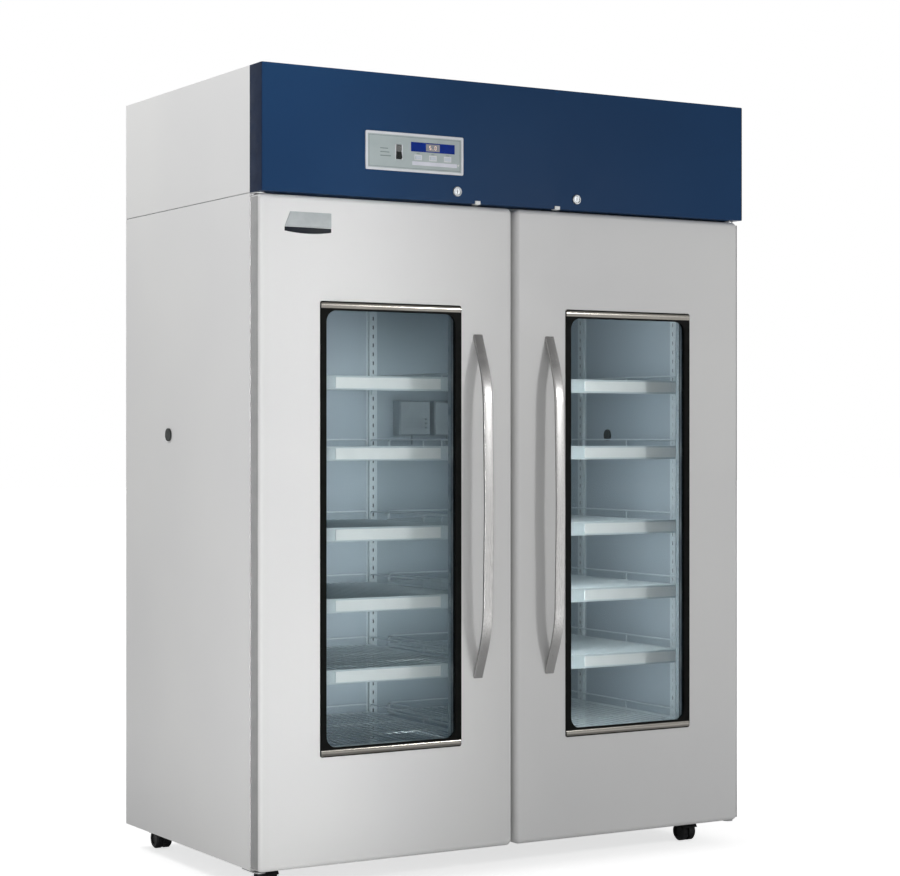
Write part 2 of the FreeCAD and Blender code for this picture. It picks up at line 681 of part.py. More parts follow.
def display_window():
    """Clear lens that fills its opening, with a flange behind the face plate."""
    lens = box(DISPLAY_X0 + FIT, DISPLAY_X1 - FIT, PANEL_FACE_FRONT + FIT, PANEL_FACE_BACK + 1,
               DISPLAY_Z0 + FIT, DISPLAY_Z1 - FIT)
    g = DISPLAY_FLANGE
    flange = box(DISPLAY_X0 - g, DISPLAY_X1 + g, PANEL_FACE_BACK, PANEL_FACE_BACK + 1,
                 DISPLAY_Z0 - g, DISPLAY_Z1 + g)
    return fuse([lens, flange])


def control_board():
    """Circuit board on four posts, with the display module behind the lens."""
    x0 = DISPLAY_X0 - 14
    x1 = DISPLAY_X1 + 8
    z0 = PANEL_Z0 + 14
    z1 = PANEL_Z1 - 14
    back = BOARD_FRONT + BOARD_THICKNESS
    board = box(x0, x1, BOARD_FRONT, back, z0, z1)
    module = box(DISPLAY_X0 + 4, DISPLAY_X1 - 4, PANEL_FACE_BACK + 1 + FIT, BOARD_FRONT,
                 DISPLAY_Z0 + 2, DISPLAY_Z1 - 2)
    posts = [rod(x, PANEL_FACE_BACK, z, ALONG_Y, 2.5, BOARD_FRONT - PANEL_FACE_BACK)
             for x in (x0 + 4, x1 - 2.5) for z in (z0 + 4, z1 - 4)]
    connector = box(x0 + 10, x0 + 40, back, back + 7, z0 + 6, z0 + 16)
    return fuse([board, module, connector] + posts)


def power_rocker():
    """Drum-backed rocker with a shallow valley across its face and a pin at each end."""
    half = ROCKER_WIDTH / 2 - FIT
    drum = rod(ROCKER_X - half, ROCKER_PIVOT, ROCKER_Z, ALONG_X, ROCKER_RADIUS, 2 * half)
    valley = PANEL_FACE_FRONT + 1.0
    rise = ROCKER_HEIGHT * math.tan(math.radians(ROCKER_TILT))
    front = PANEL_FACE_FRONT - ROCKER_HEIGHT
    wedge = prism_across([
        (valley, ROCKER_Z), (valley - rise, ROCKER_Z + ROCKER_HEIGHT),
        (front, ROCKER_Z + ROCKER_HEIGHT), (front, ROCKER_Z - ROCKER_HEIGHT),
        (valley - rise, ROCKER_Z - ROCKER_HEIGHT)], ROCKER_X - half - 1, ROCKER_X + half + 1)
    pin_reach = half + PANEL_TUB_WALL
    pins = rod(ROCKER_X - pin_reach, ROCKER_PIVOT, ROCKER_Z, ALONG_X, ROCKER_PIN_RADIUS,
               2 * pin_reach)
    back_cut = box(ROCKER_X - half - 1, ROCKER_X + half + 1, ROCKER_PIVOT + 5,
                   ROCKER_PIVOT + ROCKER_HEIGHT, ROCKER_Z - ROCKER_HEIGHT,
                   ROCKER_Z + ROCKER_HEIGHT)
    rocker = fuse([drum.cut([wedge, back_cut]), pins])
    rocker.rotate(Vector(ROCKER_X, FRONT + ROCKER_PIVOT, ROCKER_Z), ALONG_X, -ROCKER_TILT)
    return rocker


def panel_key(x):
    """Rounded key cap with a wider foot that stays behind the face plate."""
    cap = box(x - KEY_WIDTH / 2, x + KEY_WIDTH / 2, PANEL_FACE_FRONT - KEY_PROUD,
              KEY_FLANGE_FRONT + 0.1, KEY_Z - KEY_HEIGHT / 2, KEY_Z + KEY_HEIGHT / 2)
    cap = rounded(cap, 1.5, lambda ex, ey, ez, along: is_along(along, ALONG_Y))
    foot = box(x - KEY_WIDTH / 2 - KEY_FLANGE, x + KEY_WIDTH / 2 + KEY_FLANGE, KEY_FLANGE_FRONT,
               KEY_FLANGE_FRONT + KEY_FLANGE, KEY_Z - KEY_HEIGHT / 2 - KEY_FLANGE,
               KEY_Z + KEY_HEIGHT / 2 + KEY_FLANGE)
    return fuse([cap, foot])


def lock_housing(side):
    """Flanged barrel through the fascia, with its hexagon nut behind the sheet."""
    x = side * LOCK_X
    bore = LOCK_CYLINDER_RADIUS + RUNNING
    rim = LOCK_FLANGE_RADIUS
    length = CAM_FRONT - HEADER_FRONT - 2
    barrel = turned(x, HEADER_FRONT, LOCK_Z, [
        (bore, -LOCK_PROUD), (rim, -LOCK_PROUD), (rim, 0),
        (LOCK_BARREL_RADIUS, 0), (LOCK_BARREL_RADIUS, length), (bore, length)])
    nut_front = HEADER_FRONT + HEADER_SHEET
    nut = prism_back(hexagon(x, LOCK_Z, LOCK_NUT_ACROSS), nut_front, nut_front + LOCK_NUT_THICKNESS)
    nut = nut.cut(rod(x, nut_front - 1, LOCK_Z, ALONG_Y, LOCK_BARREL_RADIUS,
                      LOCK_NUT_THICKNESS + 2))
    return [barrel, nut]


def lock_cylinder(side):
    """Key cylinder with its keyway, and the cam that it swings down into the door."""
    x = side * LOCK_X
    front = HEADER_FRONT - LOCK_PROUD
    plug = rod(x, front, LOCK_Z, ALONG_Y, LOCK_CYLINDER_RADIUS, CAM_FRONT - front)
    keyway = box(x - 0.8, x + 0.8, front - 1, front + 4, LOCK_Z - 4.5, LOCK_Z + 4.5)
    reach = CAM_REACH - CAM_WIDTH / 2
    tip_x = x + side * reach
    root = rod(x, CAM_FRONT, LOCK_Z, ALONG_Y, CAM_WIDTH / 2 + 1, CAM_THICKNESS)
    tip = rod(tip_x, CAM_FRONT, LOCK_Z, ALONG_Y, CAM_WIDTH / 2, CAM_THICKNESS)
    x0, x1 = sorted((x, tip_x))
    arm = box(x0, x1, CAM_FRONT, CAM_FRONT + CAM_THICKNESS, LOCK_Z - CAM_WIDTH / 2,
              LOCK_Z + CAM_WIDTH / 2)
    screw = rod(x, CAM_FRONT + CAM_THICKNESS - 0.1, LOCK_Z, ALONG_Y, 4.5, 3.1)
    return fuse([plug.cut(keyway), root, arm, tip, screw])


def door_sensor(side):
    """Moulded sensor clipped round the lower edge of the fascia."""
    x = side * SENSOR_X
    t = SENSOR_THICKNESS
    front = HEADER_FRONT - t
    back = DOOR_FRONT - 2
    low = HEADER_Z - t
    body = prism_across([
        (front + 1, low), (back, low), (back, HEADER_Z), (HEADER_FRONT, HEADER_Z),
        (HEADER_FRONT, HEADER_Z + SENSOR_RISE), (front + 1, HEADER_Z + SENSOR_RISE),
        (front, HEADER_Z + SENSOR_RISE - 1), (front, low + 1)],
        x - SENSOR_WIDTH / 2, x + SENSOR_WIDTH / 2)
    return body


# Doors, made as the right-hand one

def window_block(grow, y0, y1, radius):
    """Upright block with rounded corners, centred on the right door's window."""
    block = box(WINDOW_X0 - grow, WINDOW_X1 + grow, y0, y1, WINDOW_SILL - grow, WINDOW_Z1 + grow)
    return rounded(block, radius, lambda x, y, z, along: is_along(along, ALONG_Y))


DART_INSET = (GASKET_WIDTH - GASKET_DART) / 2 - FIT


def gasket_ring(y0, y1, inset):
    """Rectangular ring on the door's back, narrower by inset on both of its sides."""
    x0 = DOOR_X0 + GASKET_CENTER_INSET + inset
    x1 = DOOR_X1 - GASKET_OUTER_INSET - inset
    z0 = DOOR_Z0 + GASKET_OUTER_INSET + inset
    z1 = DOOR_Z1 - GASKET_OUTER_INSET - inset
    width = GASKET_WIDTH - 2 * inset
    outer = box(x0, x1, y0, y1, z0, z1)
    inner = box(x0 + width, x1 - width, y0 - 1, y1 + 1, z0 + width, z1 - width)
    return outer.cut(inner)


def hinge_blocks():
    """Solid corners of the door that the hinge pins turn in."""
    reach = HINGE_PIN_RADIUS + HINGE_BLOCK_MARGIN
    tall = HINGE_PIN_LENGTH + HINGE_BLOCK_MARGIN
    return [box(PIVOT_X - reach, DOOR_X1, DOOR_FRONT, DOOR_BACK, z, z + tall)
            for z in (DOOR_Z0, DOOR_Z1 - tall)]


def door_insulation():
    """Foam core that fills the door between its skins, round the window and the seal groove."""
    t = DOOR_SKIN
    core = box(DOOR_X0 + t, DOOR_X1 - t, DOOR_FRONT + t, DOOR_BACK - t, DOOR_Z0 + t, DOOR_Z1 - t)
    core = core.makeChamfer(DOOR_CORNER_RADIUS * 0.6, [
        edge for edge in core.Edges if edge.BoundBox.YLength > DOOR_THICKNESS / 2])
    core = core.makeChamfer(DOOR_EDGE_RADIUS * 0.6, [
        edge for edge in core.Edges if edge.BoundBox.YMax < FRONT + DOOR_FRONT + t + 0.01])
    core = core.makeChamfer(DOOR_BACK_RADIUS * 0.6, [
        edge for edge in core.Edges
        if edge.BoundBox.YMin > FRONT + DOOR_BACK - t - 0.01
        and edge.BoundBox.XMin > DOOR_X1 - t - 0.01])
    window = window_block(t, DOOR_FRONT - 1, DOOR_BACK + 1, FRAME_CORNER_RADIUS)
    channel = gasket_ring(DOOR_BACK - GASKET_DART_DEPTH - 1 - t, DOOR_BACK, DART_INSET - t)
    cam_box = cam_slot(1, DOOR_Z1 - CAM_SLOT_DEPTH - t, DOOR_Z1, t)
    return core.cut([window, channel, cam_box] + hinge_blocks())


def door_panel():
    """Steel skins with rounded front edges, hinge bores, a cam slot and a seal groove."""
    slab = box(DOOR_X0, DOOR_X1, DOOR_FRONT, DOOR_BACK, DOOR_Z0, DOOR_Z1)
    slab = rounded(slab, DOOR_CORNER_RADIUS, lambda x, y, z, along: is_along(along, ALONG_Y))
    slab = rounded(slab, DOOR_EDGE_RADIUS, lambda x, y, z, along: y < DOOR_FRONT + 0.01)
    slab = rounded(slab, DOOR_BACK_RADIUS,
                   lambda x, y, z, along: y > DOOR_BACK - 0.01 and x > DOOR_X1 - 1)
    window = window_block(0, DOOR_FRONT - 1, DOOR_BACK + 1, FRAME_CORNER_RADIUS)
    groove = gasket_ring(DOOR_BACK - GASKET_DART_DEPTH - 1, DOOR_BACK + 1, DART_INSET)
    bore = HINGE_PIN_RADIUS + RUNNING
    low_bore = rod(PIVOT_X, PIVOT_DEPTH, DOOR_Z0 - 1, ALONG_Z, bore, HINGE_PIN_LENGTH + 4)
    high_bore = rod(PIVOT_X, PIVOT_DEPTH, DOOR_Z1 - HINGE_PIN_LENGTH - 3, ALONG_Z, bore,
                    HINGE_PIN_LENGTH + 4)
    cam_pocket = cam_slot(1, DOOR_Z1 - CAM_SLOT_DEPTH, DOOR_Z1 + 1)
    foam_hole = rod((DOOR_X0 + DOOR_X1) / 2, (DOOR_FRONT + DOOR_BACK) / 2, DOOR_Z0 - 1, ALONG_Z,
                    FOAM_HOLE_RADIUS, DOOR_SKIN + 2)
    return slab.cut([window, groove, low_bore, high_bore, cam_pocket, door_insulation(),
                     foam_hole])


def window_frame():
    """Black frame let into the door, and the ring behind that holds the glass in it."""
    outer = window_block(-FIT, FRAME_FRONT, DOOR_BACK, FRAME_CORNER_RADIUS)
    sight = box(WINDOW_X0 + FRAME_SIDE, WINDOW_X1 - FRAME_SIDE, FRAME_FRONT - 1, 0,
                WINDOW_SILL + FRAME_END, WINDOW_Z1 - FRAME_END)
    sight = rounded(sight, GLASS_CORNER_RADIUS, lambda x, y, z, along: is_along(along, ALONG_Y))
    rebate = window_block(-SPACER_WIDTH, GLASS_FRONT, 0, FRAME_CORNER_RADIUS)
    cuts = [sight, rebate]
    for z0 in (WINDOW_SILL + TRIM_INSET, WINDOW_Z1 - TRIM_INSET - TRIM_HEIGHT):
        cuts.append(box(WINDOW_X0 + TRIM_INSET, WINDOW_X1 - TRIM_INSET, FRAME_FRONT - 1,
                        FRAME_FRONT + TRIM_DEPTH, z0, z0 + TRIM_HEIGHT))
    retainer = window_block(-SPACER_WIDTH, GLASS_BACK + FIT, DOOR_BACK, FRAME_CORNER_RADIUS)
    opening = window_block(-SPACER_WIDTH - RETAINER_WIDTH, GLASS_BACK, 0, FRAME_CORNER_RADIUS)
    return [outer.cut(cuts), retainer.cut(opening)]


def glass_unit():
    """Two panes held apart by a spacer round their edges."""
    def pane(y0, y1):
        return window_block(-SPACER_WIDTH - FIT, y0, y1, FRAME_CORNER_RADIUS)

    gap_front = GLASS_FRONT + PANE
    gap_back = gap_front + PANE_SPACE
    spacer = pane(gap_front, gap_back)
    opening = window_block(-2 * SPACER_WIDTH - FIT, gap_front - 1, gap_back + 1,
                           FRAME_CORNER_RADIUS / 2)
    return [pane(GLASS_FRONT, gap_front), spacer.cut(opening), pane(gap_back, GLASS_BACK)]


def door_gasket():
    """Magnetic seal: a soft lip towards the cabinet and a dart pressed into the door."""
    lip = gasket_ring(DOOR_BACK, -FIT, 0)
    lip = rounded(lip, GASKET_LIP_RADIUS, lambda x, y, z, along: y > -FIT - 0.01)
    dart = gasket_ring(DOOR_BACK - GASKET_DART_DEPTH, DOOR_BACK + 0.1,
                       (GASKET_WIDTH - GASKET_DART) / 2)
    return fuse([lip, dart])


def handle_outline(inset):
    """Corner points (height, reach) of the bow, moved inwards by inset at right angles."""
    slope = math.atan2(HANDLE_SHOULDER, HANDLE_RISE_LENGTH)
    half = HANDLE_LENGTH / 2
    foot = inset / math.sin(slope)
    corner = (slope - HANDLE_BOW_ANGLE) / 2
    mid_slope = (slope + HANDLE_BOW_ANGLE) / 2
    offset = inset / math.cos(corner)
    shoulder = (HANDLE_RISE_LENGTH + offset * math.sin(mid_slope),
                HANDLE_SHOULDER - offset * math.cos(mid_slope))
    crown = (half, HANDLE_CROWN - inset / math.cos(HANDLE_BOW_ANGLE))
    left = [(foot, 0.0), shoulder, crown]
    return left + [(HANDLE_LENGTH - z, reach) for z, reach in reversed(left[:2])]


def door_handle():
    """Flat steel band bowed out from the door and cut flat where its ends meet the skin."""
    x0 = HANDLE_CENTER - HANDLE_WIDTH / 2

    def corners(inset):
        return [Vector(x0, FRONT + DOOR_FRONT - reach, HANDLE_BOTTOM + z)
                for z, reach in handle_outline(inset)]

    def radii(inset):
        return [HANDLE_SHOULDER_RADIUS - inset, HANDLE_BOW_RADIUS - inset,
                HANDLE_SHOULDER_RADIUS - inset]

    outer = corners(0)
    inner = corners(HANDLE_THICKNESS)
    edges = rounded_path(outer, radii(0))
    edges.append(Part.LineSegment(outer[-1], inner[-1]).toShape())
    edges += rounded_path(inner, radii(HANDLE_THICKNESS))
    edges.append(Part.LineSegment(inner[0], outer[0]).toShape())
    wire = Part.Wire(Part.__sortEdges__(edges))
    return Part.Face(wire).extrude(Vector(HANDLE_WIDTH, 0, 0))


def hinge_bracket(top):
    """Steel bracket on the cabinet whose pin enters the door's end; the right-hand one."""
    x0 = PIVOT_X - HINGE_PLATE_WIDTH / 2
    x1 = PIVOT_X + HINGE_PLATE_WIDTH / 2
    if top:
        plate_z0 = HEADER_Z - 0.5 - HINGE_PLATE
        leg = box(x1 - HINGE_LEG_WIDTH, HALF_WIDTH - HEADER_SHEET - 0.5, -HINGE_PLATE, 0,
                  plate_z0, HEADER_Z + HINGE_LEG_HEIGHT)
        plate_back = 0
        pin_z0 = plate_z0 - HINGE_PIN_LENGTH
    else:
        plate_z0 = BASE_Z - HINGE_PLATE
        leg = box(x0, x1, 0, HINGE_FOOT_DEPTH, plate_z0, BASE_Z)
        plate_back = 1
        pin_z0 = BASE_Z - 0.1
    plate = box(x0, x1, PIVOT_DEPTH, plate_back, plate_z0, plate_z0 + HINGE_PLATE)
    nose = rod(PIVOT_X, PIVOT_DEPTH, plate_z0, ALONG_Z, HINGE_PLATE_WIDTH / 2, HINGE_PLATE)
    pin = rod(PIVOT_X, PIVOT_DEPTH, pin_z0, ALONG_Z, HINGE_PIN_RADIUS, HINGE_PIN_LENGTH + 0.1)
    pieces = [plate, nose, pin, leg]
    if not top:
        pieces.append(rod(PIVOT_X, PIVOT_DEPTH, BASE_Z - 0.1, ALONG_Z, HINGE_WASHER_RADIUS,
                          DOOR_BOTTOM_GAP - FIT + 0.1))
    return fuse(pieces)


# Inside fittings

def wall_pilaster(y):
    """Hat-section upright on the left wall, open towards the wall."""
    x = -LINER_X
    d = PILASTER_DEPTH
    t = PILASTER_SHEET
    half = PILASTER_WIDTH / 2
    lip = PILASTER_LIP
    return prism_up([
        (x, y - half - lip), (x + t, y - half - lip), (x + t, y - half), (x + d, y - half),
        (x + d, y + half), (x + t, y + half), (x + t, y + half + lip), (x, y + half + lip),
        (x, y + half - t), (x + d - t, y + half - t), (x + d - t, y - half + t),
        (x, y - half + t)], LINER_Z0 + LAMP_END_GAP, EVAPORATOR_Z0 - LAMP_END_GAP / 3)


def turned_to_center(shape, face_y, direction):
    """Moves a left-wall upright at depth zero onto a face that looks along Y."""
    moved = shape.copy()
    moved.translate(Vector(LINER_X, -FRONT, 0))
    moved.rotate(Vector(0, 0, 0), ALONG_Z, 90 * direction)
    moved.translate(Vector(0, FRONT + face_y, 0))
    return moved


def shelf_pilasters():
    walls = [wall_pilaster(PILASTER_FRONT), wall_pilaster(PILASTER_REAR)]
    center = [turned_to_center(wall_pilaster(0), MULLION_DEPTH, 1),
              turned_to_center(wall_pilaster(0), LINER_BACK, -1)]
    return walls + [mirrored(shape) for shape in walls] + center


def shelf_clip(x, y, level, direction, reach):
    """Clip hung on an upright: a back plate and a ledge under the shelf frame."""
    top = level + SHELF_DECK_ABOVE - SHELF_BAR
    half = CLIP_WIDTH / 2
    t = CLIP_THICKNESS
    profile = [(0, top - CLIP_HEIGHT), (t, top - CLIP_HEIGHT), (t + 3, top - t - 2),
               (reach, top - t), (reach, top), (0, top)]
    wire = polygon_wire([Vector(out, -half, z) for out, z in profile])
    clip = Part.Face(wire).extrude(Vector(0, CLIP_WIDTH, 0))
    clip.rotate(Vector(0, 0, 0), ALONG_Z, direction)
    clip.translate(Vector(x, FRONT + y, 0))
    return clip


def shelf_clips():
    wall_x = -LINER_X + PILASTER_DEPTH
    wall_reach = SHELF_SIDE_GAP - PILASTER_DEPTH + 2 * SHELF_BAR
    front_face = MULLION_DEPTH + PILASTER_DEPTH
    back_face = LINER_BACK - PILASTER_DEPTH
    front_reach = SHELF_FRAME_FRONT + 2 * SHELF_BAR - front_face
    back_reach = SHELF_REAR_GAP - PILASTER_DEPTH + 2 * SHELF_BAR
    center_reach_x = SHELF_CENTER_GAP + 2 * SHELF_BAR
    clips = []
    for level in SHELF_LEVELS:
        for y in (PILASTER_FRONT, PILASTER_REAR):
            clip = shelf_clip(wall_x, y, level, 0, wall_reach)
            clips += [clip, mirrored(clip)]
        for face, direction, reach in ((front_face, 90, front_reach), (back_face, -90, back_reach)):
            stem = shelf_clip(0, face, level, direction, reach)
            top = level + SHELF_DECK_ABOVE - SHELF_BAR
            end = face + math.copysign(reach, direction)
            y0, y1 = sorted((end, end - math.copysign(SHELF_BAR, direction)))
            bar = box(-center_reach_x, center_reach_x, y0, y1, top - CLIP_THICKNESS, top)
            clips.append(fuse([stem, bar]))
    return clips


def wire_shelf(level):
    """Right-hand shelf: frame bars, wires from front to back and a lipped front apron."""
    top = level + SHELF_DECK_ABOVE
    low = top - SHELF_BAR
    x0, x1 = SHELF_X0, SHELF_X1
    y0, y1 = SHELF_FRAME_FRONT, SHELF_REAR
    bar = SHELF_BAR
    frame = box(x0, x1, y0, y1, low, top).cut(
        box(x0 + bar, x1 - bar, y0 + bar, y1 - bar, low - 1, top + 1))
    pitch = (x1 - x0 - bar) / (SHELF_WIRE_COUNT + 1)
    wires = []
    for index in range(1, SHELF_WIRE_COUNT + 1):
        x = x0 + bar / 2 + index * pitch
        wires.append(box(x - SHELF_WIRE / 2, x + SHELF_WIRE / 2, y0 + bar / 2, y1 - bar / 2,
                         top - SHELF_WIRE, top))
    half = APRON_HEIGHT / 2
    f = APRON_FRONT
    apron = prism_across([
        (f + APRON_SHEET, level - half), (f + APRON_SHEET, level + half),
        (f - APRON_LIP_DEPTH, level + half), (f - APRON_LIP_DEPTH, level + half - APRON_LIP),
        (f - APRON_LIP_DEPTH + 1, level + half - APRON_LIP),
        (f - APRON_LIP_DEPTH + 1, level + half - 1), (f, level + half - 1),
        (f, level - half + 1), (f - APRON_LIP_DEPTH + 1, level - half + 1),
        (f - APRON_LIP_DEPTH + 1, level - half + APRON_LIP),
        (f - APRON_LIP_DEPTH, level - half + APRON_LIP), (f - APRON_LIP_DEPTH, level - half)],
        x0, x1)
    return fuse([frame, apron] + wires)


def label_holder(level, center):
    """Plain strip held between the two lips of a shelf apron."""
    half = APRON_HEIGHT / 2 - 1 - FIT / 2
    return box(center - LABEL_LENGTH / 2, center + LABEL_LENGTH / 2,
               APRON_FRONT - APRON_LIP_DEPTH + 1, APRON_FRONT, level - half, level + half)


def guard(length):
    """Low fence along X from the origin: a rail on posts."""
    w = GUARD_WIRE
    rail = Part.makeBox(length, w, w, Vector(0, -w / 2, GUARD_HEIGHT - w))
    pitch = (length - w) / (GUARD_POSTS - 1)
    posts = [Part.makeBox(w, w, GUARD_HEIGHT - w / 2, Vector(index * pitch, -w / 2, 0))
             for index in range(GUARD_POSTS)]
    return fuse([rail] + posts)


def shelf_guards():
    """Fences on the rear and both sides of every shelf."""
    width = SHELF_X1 - SHELF_X0
    depth = SHELF_REAR - SHELF_FRAME_FRONT
    inset = SHELF_BAR / 2
    rear = guard(width - 3 * SHELF_BAR)
    side = guard(depth - SHELF_BAR)
    side.rotate(Vector(0, 0, 0), ALONG_Z, 90)
    result = []
    for level in SHELF_LEVELS:
        top = level + SHELF_DECK_ABOVE
        back = rear.copy()
        back.translate(Vector(SHELF_X0 + 1.5 * SHELF_BAR, FRONT + SHELF_REAR - inset, top))
        inner = side.copy()
        inner.translate(Vector(SHELF_X0 + inset, FRONT + SHELF_FRAME_FRONT + inset, top))
        outer = side.copy()
        outer.translate(Vector(SHELF_X1 - inset, FRONT + SHELF_FRAME_FRONT + inset, top))
        for piece in (back, inner, outer):
            result += [piece, mirrored(piece)]
    return result


def lamp_bars():
    """Lamp bars with rounded lenses in the steps of the centre post."""
    x0 = MULLION_SPINE_WIDTH / 2
    z0 = LINER_Z0 + LAMP_END_GAP
    z1 = EVAPORATOR_Z0 - LAMP_END_GAP / 3
    bar = box(x0, x0 + LAMP_WIDTH, MULLION_STEP, MULLION_STEP + LAMP_DEPTH, z0, z1)
    bar = rounded(bar, LAMP_WIDTH / 3, lambda x, y, z, along:
                  is_along(along, ALONG_Z) and x > x0 + 1 and y > MULLION_STEP + 1)
    return [bar, mirrored(bar)]


def temperature_probe():
    """Vented sensor housings on the rear wall, each with a probe below."""
    result = []
    for offset in (0, PROBE_BOX_WIDTH + 14):
        x0 = PROBE_BOX_X - PROBE_BOX_WIDTH / 2 + offset
        z0 = PROBE_BOX_Z - PROBE_BOX_HEIGHT / 2
        y0 = LINER_BACK - PROBE_BOX_DEPTH
        case = box(x0, x0 + PROBE_BOX_WIDTH, y0, LINER_BACK, z0, z0 + PROBE_BOX_HEIGHT)
        case = case.makeChamfer(4, [edge for edge in case.Edges
                                    if edge.CenterOfMass.y < FRONT + y0 + 0.01])
        vents = [box(x0 + 14, x0 + PROBE_BOX_WIDTH - 14, y0 - 1, y0 + 6, z, z + 4)
                 for z in (z0 + 20, z0 + 32, z0 + 44)]
        stem = rod(x0 + PROBE_BOX_WIDTH / 2, y0 + PROBE_BOX_DEPTH / 2, z0 - 26, ALONG_Z, 3, 27)
        result.append(fuse([case.cut(vents), stem]))
    return result


def port_plug(side, inner):
    """Rubber stopper pushed into one end of an access port."""
    toward = -side if inner else side
    face = Vector(side * (LINER_X if inner else HALF_WIDTH), FRONT + PORT_DEPTH, PORT_HEIGHT)
    rim = PLUG_FLANGE_RADIUS
    shank = PORT_RADIUS - PLUG_CLEARANCE
    section = [(0, PLUG_FLANGE), (rim, PLUG_FLANGE), (rim, 0), (shank, 0), (shank, -PLUG_SHANK),
               (0, -PLUG_SHANK)]
    wire = polygon_wire([face + Vector(toward * out, 0, radius) for radius, out in section])
    return Part.Face(wire).revolve(face, ALONG_X, 360)


# Cooling unit

def finned_coil(x0, x1, y0, y1, z0, z1, rows):
    """Block of upright fins on a core, with tube bends past both end plates."""
    fins = []
    count = int((x1 - x0) / COIL_FIN_PITCH)
    pitch = (x1 - x0 - COIL_FIN) / count
    for index in range(count + 1):
        x = x0 + index * pitch
        fins.append(box(x, x + COIL_FIN, y0, y1, z0, z1))
    c = COIL_CORE_INSET
    core = box(x0, x1, y0 + c, y1 - c, z0 + c, z1 - c)
    bends = []
    middle = (y0 + y1) / 2
    for row in range(rows):
        z = z0 + (row + 0.5) * (z1 - z0) / rows
        for end, out in ((x0, -1), (x1, 1)):
            wide = rod(end, middle, z - COIL_TUBE_RADIUS, ALONG_Z,
                       COIL_BEND_RADIUS + COIL_TUBE_RADIUS, 2 * COIL_TUBE_RADIUS)
            hole = rod(end, middle, z - 2 * COIL_TUBE_RADIUS, ALONG_Z,
                       COIL_BEND_RADIUS - COIL_TUBE_RADIUS, 4 * COIL_TUBE_RADIUS)
            inward = sorted((end - out, end - out * WALL))
            half = box(*inward, y0 - WALL, y1 + WALL, z0 - WALL, z1 + WALL)
            bends.append(wide.cut([hole, half]))
    return fuse(fins + [core] + bends)


def fan_blade(radius):
    """Twisted blade, lofted from a steep root section to a flatter, wider tip section."""
    sections = []
    for share, pitch in ((0.0, FAN_ROOT_PITCH), (0.5, (FAN_ROOT_PITCH + FAN_TIP_PITCH) / 2),
                         (1.0, FAN_TIP_PITCH)):
        at = FAN_HUB_RADIUS - 3 + share * (radius - FAN_HUB_RADIUS + 3)
        chord = 30 + share * 22
        angle = math.radians(pitch)
        along = Vector(0, math.cos(angle), math.sin(angle))
        across = Vector(0, -math.sin(angle), math.cos(angle))
        half = FAN_BLADE_THICKNESS / 2
        corners = [along * (chord / 2) + across * half, along * (-chord / 2) + across * half,
                   along * (-chord / 2) - across * half, along * (chord / 2) - across * half]
        sections.append(polygon_wire([Vector(at, 0, 0) + corner for corner in corners]))
    return Part.makeLoft(sections, True, False)


def fan_rotor(radius):
    """Rotor about Z, centred on the origin, with a bored hub."""
    hub = Part.makeCylinder(FAN_HUB_RADIUS, FAN_HUB_LENGTH, Vector(0, 0, -FAN_HUB_LENGTH / 2))
    blades = []
    for index in range(FAN_BLADES):
        blade = fan_blade(radius)
        blade.rotate(Vector(0, 0, 0), ALONG_Z, index * 360 / FAN_BLADES)
        blades.append(blade)
    bore = Part.makeCylinder(FAN_SHAFT_RADIUS + RUNNING, FAN_HUB_LENGTH + 2,
                             Vector(0, 0, -FAN_HUB_LENGTH / 2 - 1))
    return fuse([hub] + blades).cut(bore)


CONDENSER_Z0 = DECK_Z + CONDENSER_RAISE
CONDENSER_FAN_Z = CONDENSER_Z0 + CONDENSER_HEIGHT / 2
SHROUD_FRONT = CONDENSER_DEPTH - SHROUD_DEPTH
CONDENSER_FAN_DEPTH = SHROUD_FRONT + FAN_HUB_LENGTH / 2 - 4


def condenser_fan():
    rotor = fan_rotor(FAN_RADIUS)
    rotor.rotate(Vector(0, 0, 0), ALONG_X, 90)
    rotor.translate(Vector(CONDENSER_X, FRONT + CONDENSER_FAN_DEPTH, CONDENSER_FAN_Z))
    return rotor


def condenser_coil():
    half = CONDENSER_WIDTH / 2
    coil = finned_coil(CONDENSER_X - half, CONDENSER_X + half, CONDENSER_DEPTH,
                       CONDENSER_DEPTH + CONDENSER_THICKNESS, CONDENSER_Z0,
                       CONDENSER_Z0 + CONDENSER_HEIGHT, CONDENSER_ROWS)
    feet = [box(x - 15, x + 15, CONDENSER_DEPTH + 10, CONDENSER_DEPTH + 50, DECK_Z,
                CONDENSER_Z0 + 1)
            for x in (CONDENSER_X - half + 40, CONDENSER_X + half - 40)]
    return fuse([coil] + feet)


